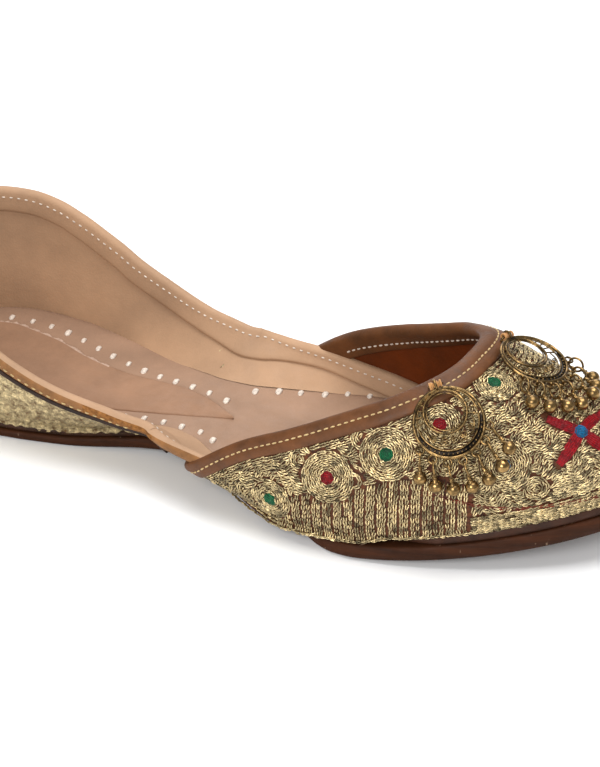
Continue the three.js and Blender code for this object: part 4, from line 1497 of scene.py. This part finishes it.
class MOJARI_OT_embroidery(bpy.types.Operator):
    """Covers the vamp with chain stitch, coils, dots and the cross"""

    bl_idname = "mojari.embroidery"
    bl_label = "Embroidery"

    def execute(self, context):
        rng = np.random.default_rng(EMBROIDERY_SEED)
        cloth = Cloth()
        row = sewing_size("chain_row")
        step = sewing_size("chain_step")
        centres = []
        for station, height, radius, tint in MOTIFS:
            for side in (-1, 1):
                centres.append((*cloth.beside(station, height, side), radius, tint))
        for station, side, radius, tint in RIDGE_MOTIFS:
            centres.append((*cloth.down(station, side), radius, tint))
        hub, hub_out = centres[-1][:2]
        for station, height, radius in SWIRLS:
            for side in (-1, 1):
                centres.append((*cloth.beside(station, height, side), radius, None))
        arms = [(hub, cloth.down(station, side)[0]) for station, side in CROSS_ARMS]
        pattern = Pattern(centres, arms)
        seeds = []
        for rank, (place, normal, radius, tint) in enumerate(centres):
            inner = COIL_START["dot" if tint else "plain"]
            rings = coil(cloth, place, normal, radius, step, COIL_ROW * row, inner)
            seeds += [s for s in rings if pattern.clear_of_coils(s[0], rank) and pattern.clear_of_cross(s[0])]
        edge = fringe(step) + hem_rows(step, row)
        seeds += [s for s in edge if pattern.clear_of_coils(s[0])]
        for seed in filler(step, row):
            spot = seed[0]
            if pattern.clear_of_coils(spot) and pattern.clear_of_cross(spot) and pattern.clear_of_edges(spot):
                seeds.append(seed)
        jitter = rng.normal(0, 0.1, (len(seeds), 3))
        grown = rng.uniform(0.92, 1.12, len(seeds))
        seeds = [
            (p + 0.8 * j, d / (np.linalg.norm(d) + 1e-9) + j, n, s * g)
            for (p, d, n, s), j, g in zip(seeds, jitter, grown)
        ]
        tones = np.clip(rng.normal(0.5, 0.28, len(seeds)), 0, 1)
        unit = chain_mesh("chain_unit")
        near = np.array([s[0][1] < swing(s[0][0]) for s in seeds])
        for name, chosen in (("near", near), ("far", ~near)):
            picked = [s for s, keep in zip(seeds, chosen) if keep]
            sew(f"zari_stitch_{name}", picked, unit, look("zari"), step, 1.34, 1.45, 0.08,
                {"tone": ("FLOAT", "value", tones[chosen])})
        silk_seeds = []
        tints = []
        for place, normal, _, tint in centres:
            if tint:
                dot = coil(cloth, place + DOT_LIFT * normal, normal, **DOT)
                silk_seeds += dot
                tints += [tint] * len(dot)
        for start, end in arms:
            arm = petal(cloth, start, end, hub_out)
            silk_seeds += arm
            tints += [CRIMSON] * len(arm)
        for side in (-1, 1):
            line = [cloth.beside(station, height, side) for station, height in COPPER_ROW]
            copper = along_line(np.array([p for p, _ in line]), np.array([n for _, n in line]), step)
            silk_seeds += [(cloth.nearest(p)[0], d, n, s) for p, d, n, s in copper]
            tints += [COPPER] * len(copper)
        shades = rng.uniform(0.75, 1.2, len(tints))
        paint = [srgb(shaded(tint, shade)) for tint, shade in zip(tints, shades)]
        sew("silk_motifs", silk_seeds, unit, look("silk"), 1.7, 1.25, 1.6, 0.1,
            {"tint": ("FLOAT_COLOR", "color", paint)})
        bpy.data.objects.remove(unit)
        return {"FINISHED"}


# Brass ornaments: frames on the vamp, from the heel, in millimetres.
ORNAMENTS = {
    "near": {
        "centre": (206.536, -23.554, 48.216),
        "along": (0.73938, 0.60708, 0.29115),
        "up": (-0.58431, 0.36373, 0.72545),
        "tips": (32, 36, 36, 32, 24, -4, -12),
    },
    "far": {
        "centre": (216.827, 11.263, 53.94),
        "along": (0.27926, 0.95062, -0.13542),
        "up": (-0.91547, 0.30613, 0.26114),
        "tips": (12, 10, 6, 6, -4, 2, 12),
    },
}
DROP_ANGLES = (-66, -44, -22, 0, 22, 44, 66)
HOOP = (10.2, 0.52)
RING = (6.3, 0.42, 3.3)
BAIL = (1.4, 0.4)
EYELET = (1.2, 0.35)
LINK = (2.2, 0.35, 1.4)
NECK = 2.4
BALL = 2.1
STAPLE_WIRE = 0.4
STAPLE_BEND = (
    (-1.95, -2.6), (-1.95, -0.5), (-1.7, -0.12), (-1.2, 0),
    (1.2, 0), (1.7, -0.12), (1.95, -0.5), (1.95, -2.6),
)


def torus(radius, wire, steps, sides, turn=None, centre=(0, 0, 0), lobes=0):
    """Rings of a torus round Z; lobes give it a rope's edge."""
    a = np.linspace(0, 2 * math.pi, steps, endpoint=False)[:, None]
    b = np.linspace(0, 2 * math.pi, sides, endpoint=False)[None, :]
    w = wire * (1 + (0.22 * np.sin(lobes * a + 2 * b) if lobes else 0))
    points = np.stack([
        (radius + w * np.cos(b)) * np.cos(a), (radius + w * np.cos(b)) * np.sin(a), w * np.sin(b) + 0 * a,
    ], -1)
    if turn is not None:
        points = points @ np.asarray(turn).T
    return points + np.asarray(centre, float)


def lathe(profile, steps=20):
    """Rings of a shape turned about Y."""
    a = np.linspace(0, 2 * math.pi, steps, endpoint=False)[None, :]
    r = np.array([p[0] for p in profile])[:, None]
    y = np.array([p[1] for p in profile])[:, None]
    return np.stack([r * np.cos(a), y + 0 * a, r * np.sin(a)], -1)


SIDEWAYS = np.array([[0, 0, 1], [0, 1, 0], [-1, 0, 0]], float)


class Placed(Build):
    """A build whose parts are set by a frame."""

    def __init__(self, basis, centre):
        super().__init__()
        self.basis = np.asarray(basis, float)
        self.centre = np.asarray(centre, float)

    def put(self, points, **settings):
        self.grid(points @ self.basis.T + self.centre, **settings)


def turned(axis, degrees):
    a = math.radians(degrees)
    c, s = math.cos(a), math.sin(a)
    if axis == "x":
        return np.array([[1, 0, 0], [0, c, -s], [0, s, c]])
    return np.array([[c, -s, 0], [s, c, 0], [0, 0, 1]])


BAND = (8.95, 0.26, 0.85)
LADDER = (-22, -8, 6, 20, 34, 48)
SCROLLS = ((-90, 4.9, 1.25), (-62, 4.9, 1.15), (-118, 4.9, 1.15), (-35, 5.6, 0.95), (-145, 5.6, 0.95))


def wire(points, radius, sides=6):
    """A round wire along flat points, with its height in the third column."""
    return tube_rows(np.asarray(points, float), radius, np.linspace(0, 2 * math.pi, sides, endpoint=False))


def band_backing():
    """Thin dark plate between the band and the hoop, low half only, as a closed grid: partly the oxidised
    bands of the crescent, partly painted shade in its open gaps.
    """
    turn = np.radians(np.linspace(-172, -8, 50))
    rows = []
    outer, inner = (HOOP[0], 0), (BAND[0], BAND[2])
    for (radius, rise), lift in ((outer, -0.3), (inner, -0.3), (inner, -0.05), (outer, -0.05)):
        rows.append(np.column_stack([
            radius * np.cos(turn), rise + radius * np.sin(turn), np.full(len(turn), lift),
        ]))
    return np.array(rows)


def filigree(made):
    """Scrolls, leaves and struts between the inner ring and the hoop."""
    for angle, reach, size in SCROLLS:
        a = math.radians(angle)
        centre = np.array([reach * 1.25 * math.cos(a), 0.9 + reach * 1.25 * math.sin(a)])
        t = np.linspace(0, 1, 26)
        turn = a + math.pi + t * 3.4 * math.pi
        r = size * (1.05 - 0.8 * t)
        curl = np.column_stack([centre[0] + r * np.cos(turn), centre[1] + r * np.sin(turn), 0.1 + 0.3 * t])
        made.put(wire(curl, 0.2), close_columns=True)
    for hand in (-1, 1):
        t = np.linspace(0, 1, 24)
        sweep = np.radians(-90 + hand * (8 + 74 * t))
        r = 6.9 + 0.9 * np.sin(math.pi * t)
        leaf = np.column_stack([r * np.cos(sweep), 0.7 + r * np.sin(sweep), np.full(24, 0.25)])
        made.put(wire(leaf, 0.2), close_columns=True)
    for angle in LADDER:
        for hand in (-1, 1):
            a = math.radians(angle)
            ray = np.array([hand * math.cos(a), math.sin(a)])
            inner = np.array([0.0, RING[2]]) + RING[0] * ray
            from_band = inner - np.array([0.0, BAND[2]])
            reach = np.dot(from_band, ray)
            reach = math.sqrt(reach * reach - np.dot(from_band, from_band) + BAND[0] ** 2) - reach
            strut = np.column_stack([np.linspace(inner, inner + reach * ray, 3), np.zeros(3)])
            made.put(wire(strut, 0.24, 5), close_columns=True)


def granules(made):
    """A row of small balls on the band's backing."""
    size = 0.3
    ball = lathe([(size * math.sin(t), size * math.cos(t)) for t in np.linspace(0.05, math.pi - 0.05, 6)], 8)
    for angle in range(-158, -21, 8):
        a = math.radians(angle)
        mean = (np.array([HOOP[0] * math.cos(a), HOOP[0] * math.sin(a)])
                + np.array([BAND[0] * math.cos(a), BAND[2] + BAND[0] * math.sin(a)])) / 2
        made.put(ball + np.array([mean[0], mean[1], 0.12]), close_columns=True)


def binder_loops(made, top):
    """Turns of thread round the staple's bar."""
    for k, shift in enumerate(np.linspace(-1.6, 1.6, 7)):
        size = 0.75 + 0.25 * math.sin(2.1 * k + 0.6)
        loop = torus(size, 0.33, 16, 6, SIDEWAYS, (shift, top, 0.1))
        made.put(loop, close_rows=True, close_columns=True, flip=True)


def staple_rows(top):
    """Rings of the staple's wire over its bend."""
    centre = np.array([(x, top, z) for x, z in STAPLE_BEND])
    around = np.linspace(0, 2 * math.pi, 8, endpoint=False)
    across = np.array([0.0, 1.0, 0.0])
    rows = []
    for k, c in enumerate(centre):
        ahead = centre[min(k + 1, len(centre) - 1)] - centre[max(k - 1, 0)]
        side = np.cross(ahead / np.linalg.norm(ahead), across)
        rows.append([c + STAPLE_WIRE * (math.cos(t) * across + math.sin(t) * side) for t in around])
    return np.array(rows)


def drop_profile():
    """Radius and height down one drop: cap, collar, neck and ball."""
    foot = LINK[2] + LINK[0]
    neck = (
        (0.02, 0.5), (0.5, 0.35), (0.62, -0.2), (0.5, -0.8), (0.78, -1.05), (0.78, -1.3), (0.55, -1.5),
        (0.6, 0.35 - NECK), (1.15, 0.1 - NECK), (1.2, -0.12 - NECK),
    )
    hang = foot + NECK + BALL - 0.4
    ball = [(BALL * math.sin(t), -hang + BALL * math.cos(t)) for t in np.linspace(0.55, math.pi - 0.02, 14)]
    return [(r, y - foot) for r, y in neck] + ball


class MOJARI_OT_ornaments(bpy.types.Operator):
    """Builds the brass hoops, staples and drops"""

    bl_idname = "mojari.ornaments"
    bl_label = "Ornaments"

    def execute(self, context):
        metal = look("brass")
        ring = {"close_rows": True, "close_columns": True, "flip": True}
        for name, place in ORNAMENTS.items():
            along = np.array(place["along"])
            up = np.array(place["up"])
            basis = np.stack([along, up, np.cross(along, up)], -1)
            top = HOOP[0] + BAIL[0]
            hoop = Placed(basis, place["centre"])
            hoop.put(torus(HOOP[0], HOOP[1], 120, 10), **ring)
            hoop.put(torus(RING[0], RING[1], 80, 8, None, (0, RING[2], 0)), **ring)
            hoop.put(torus(RING[0] - 0.85, 0.2, 64, 6, None, (0, RING[2], 0), lobes=30), **ring)
            hoop.put(torus(BAND[0], BAND[1], 90, 7, None, (0, BAND[2], 0)), **ring)
            # The dark plate behind the crescent: partly oxide, partly painted shade in the openwork's gaps.
            hoop.put(band_backing(), slot=1, close_rows=True)
            filigree(hoop)
            granules(hoop)
            hoop.put(torus(BAIL[0], BAIL[1], 24, 8, SIDEWAYS, (0, top, 0)), **ring)
            orbit = HOOP[0] + EYELET[0] + 0.25
            for angle in DROP_ANGLES:
                a = math.radians(angle)
                at = (orbit * math.sin(a), -orbit * math.cos(a), 0)
                hoop.put(torus(EYELET[0], EYELET[1], 16, 6, None, at), **ring)
            finish_piece(hoop.done(f"{name}_hoop_brass", [metal, look("backing_oxide_and_shade")]),
                         [f"ornament_{name}_hoop"], f"{name}_hoop")
            staple = Placed(basis, place["centre"])
            staple.put(staple_rows(top), close_columns=True)
            finish_piece(staple.done(f"{name}_staple_brass", [metal]), [f"ornament_{name}_staple"])
            binder = Placed(basis, place["centre"])
            binder_loops(binder, top)
            finish_piece(binder.done(f"{name}_binder_thread", [look("binder")]))
            for k, (angle, tip) in enumerate(zip(DROP_ANGLES, place["tips"])):
                a = math.radians(angle)
                turn = math.radians(angle * 0.3)
                hook = np.array([orbit * math.sin(a), -orbit * math.cos(a), 0])
                hook = hook + EYELET[0] * np.array([math.sin(turn), -math.cos(turn), 0])
                local = turned("z", angle * 0.3) @ turned("x", tip)
                drop = Placed(basis @ local, np.array(place["centre"]) + basis @ hook)
                drop.put(torus(LINK[0], LINK[1], 28, 7, SIDEWAYS, (0, -LINK[2], 0)), **ring)
                drop.put(lathe(drop_profile(), 24), close_columns=True)
                finish_piece(drop.done(f"{name}_drop_{k + 1}_brass", [look("ball")]),
                             [f"ornament_{name}_drop_{k + 1}"], f"{name}_drop_{k + 1}")
        return {"FINISHED"}


# Stage, in metres: floor, and lamps as place, power and width. The target is in millimetres from the heel.
FLOOR_HALF = 6.0
FLOOR_WHITES = [(0.3, (0.955, 0.955, 0.955)), (0.7, (0.965, 0.965, 0.965))]
SKY = 0.45
LAMPS = (
    ("key", (0.15, 0.1, 1.3), 18.0, 1.0),
    ("fill", (0.25, -1.35, 0.85), 17.0, 0.8),
    ("rim", (-0.5, 0.9, 0.8), 6.0, 0.7),
)
LAMP_TARGET = (0, 0, 0.02)
SENSOR = 36.0
PICTURE_HEIGHT = 767.0
FOCAL_PIXELS = 3050.0
CAMERA_TURN = 29
CAMERA_LIFT = 32
CAMERA_DISTANCE = 0.95
CAMERA_TARGET = (136.1, 15.1, 19.0)


class MOJARI_OT_stage(bpy.types.Operator):
    """Sets the floor, the lights and the camera"""

    bl_idname = "mojari.stage"
    bl_label = "Stage"

    def execute(self, context):
        scene = context.scene
        corners = [(x * FLOOR_HALF, y * FLOOR_HALF, 0) for x, y in ((-1, -1), (1, -1), (1, 1), (-1, 1))]
        floor = new_object("studio_floor", corners, [(0, 1, 2, 3)], [])
        surface = Look("floor_white", Roughness=0.85, Specular_IOR_Level=0.1)
        surface.paint(surface.ramp(surface.noise(3.0, 1.0), FLOOR_WHITES))
        floor.data.materials.append(surface.material)
        world = scene.world or bpy.data.worlds.new("studio")
        scene.world = world
        world.use_nodes = True
        world.node_tree.nodes["Background"].inputs["Color"].default_value = (1, 1, 1, 1)
        world.node_tree.nodes["Background"].inputs["Strength"].default_value = SKY
        for name, place, power, width in LAMPS:
            data = bpy.data.lights.new(name, "AREA")
            data.energy = power
            data.size = width
            lamp = bpy.data.objects.new(name, data)
            lamp.location = place
            lamp.rotation_euler = (Vector(LAMP_TARGET) - Vector(place)).to_track_quat("-Z", "Y").to_euler()
            scene.collection.objects.link(lamp)
        data = bpy.data.cameras.new("camera")
        data.sensor_width = SENSOR
        data.lens = FOCAL_PIXELS * SENSOR / PICTURE_HEIGHT
        data.clip_start = 0.01
        camera = bpy.data.objects.new("camera", data)
        turn, lift = math.radians(CAMERA_TURN), math.radians(CAMERA_LIFT)
        back = Vector((math.sin(turn) * math.cos(lift), -math.cos(turn) * math.cos(lift), math.sin(lift)))
        target = Vector(tuple(to_frame(np.array(CAMERA_TARGET))))
        camera.location = target + back * CAMERA_DISTANCE
        camera.rotation_euler = (-back).to_track_quat("-Z", "Y").to_euler()
        scene.collection.objects.link(camera)
        scene.camera = camera
        scene.view_settings.view_transform = "Standard"
        return {"FINISHED"}


class MOJARI_PT_panel(bpy.types.Panel):
    """Lists the steps of the shoe"""

    bl_label = "Mojari shoe"
    bl_idname = "MOJARI_PT_panel"
    bl_space_type = "VIEW_3D"
    bl_region_type = "UI"
    bl_category = "Mojari"

    def draw(self, context):
        for group in (context.scene.mojari_colours, context.scene.mojari_sizes):
            for key in group.__annotations__:
                self.layout.prop(group, key)
        for step in STEPS:
            self.layout.operator(step.bl_idname)


STEPS = (
    MOJARI_OT_stage,
    MOJARI_OT_sole,
    MOJARI_OT_vamp,
    MOJARI_OT_quarter,
    MOJARI_OT_bindings,
    MOJARI_OT_insole,
    MOJARI_OT_sewing,
    MOJARI_OT_embroidery,
    MOJARI_OT_ornaments,
)
CLASSES = (MojariColours, MojariSizes) + STEPS + (MOJARI_PT_panel,)


def register():
    for item in CLASSES:
        bpy.utils.register_class(item)
    bpy.types.Scene.mojari_colours = bpy.props.PointerProperty(type=MojariColours)
    bpy.types.Scene.mojari_sizes = bpy.props.PointerProperty(type=MojariSizes)


def unregister():
    del bpy.types.Scene.mojari_sizes
    del bpy.types.Scene.mojari_colours
    for item in reversed(CLASSES):
        bpy.utils.unregister_class(item)


def main():
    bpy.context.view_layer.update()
    register()
    bpy.ops.mojari.stage()
    bpy.ops.mojari.sole()
    bpy.ops.mojari.vamp()
    bpy.ops.mojari.quarter()
    bpy.ops.mojari.bindings()
    bpy.ops.mojari.insole()
    bpy.ops.mojari.sewing()
    bpy.ops.mojari.embroidery()
    bpy.ops.mojari.ornaments()


if __name__ == "__main__":
    main()
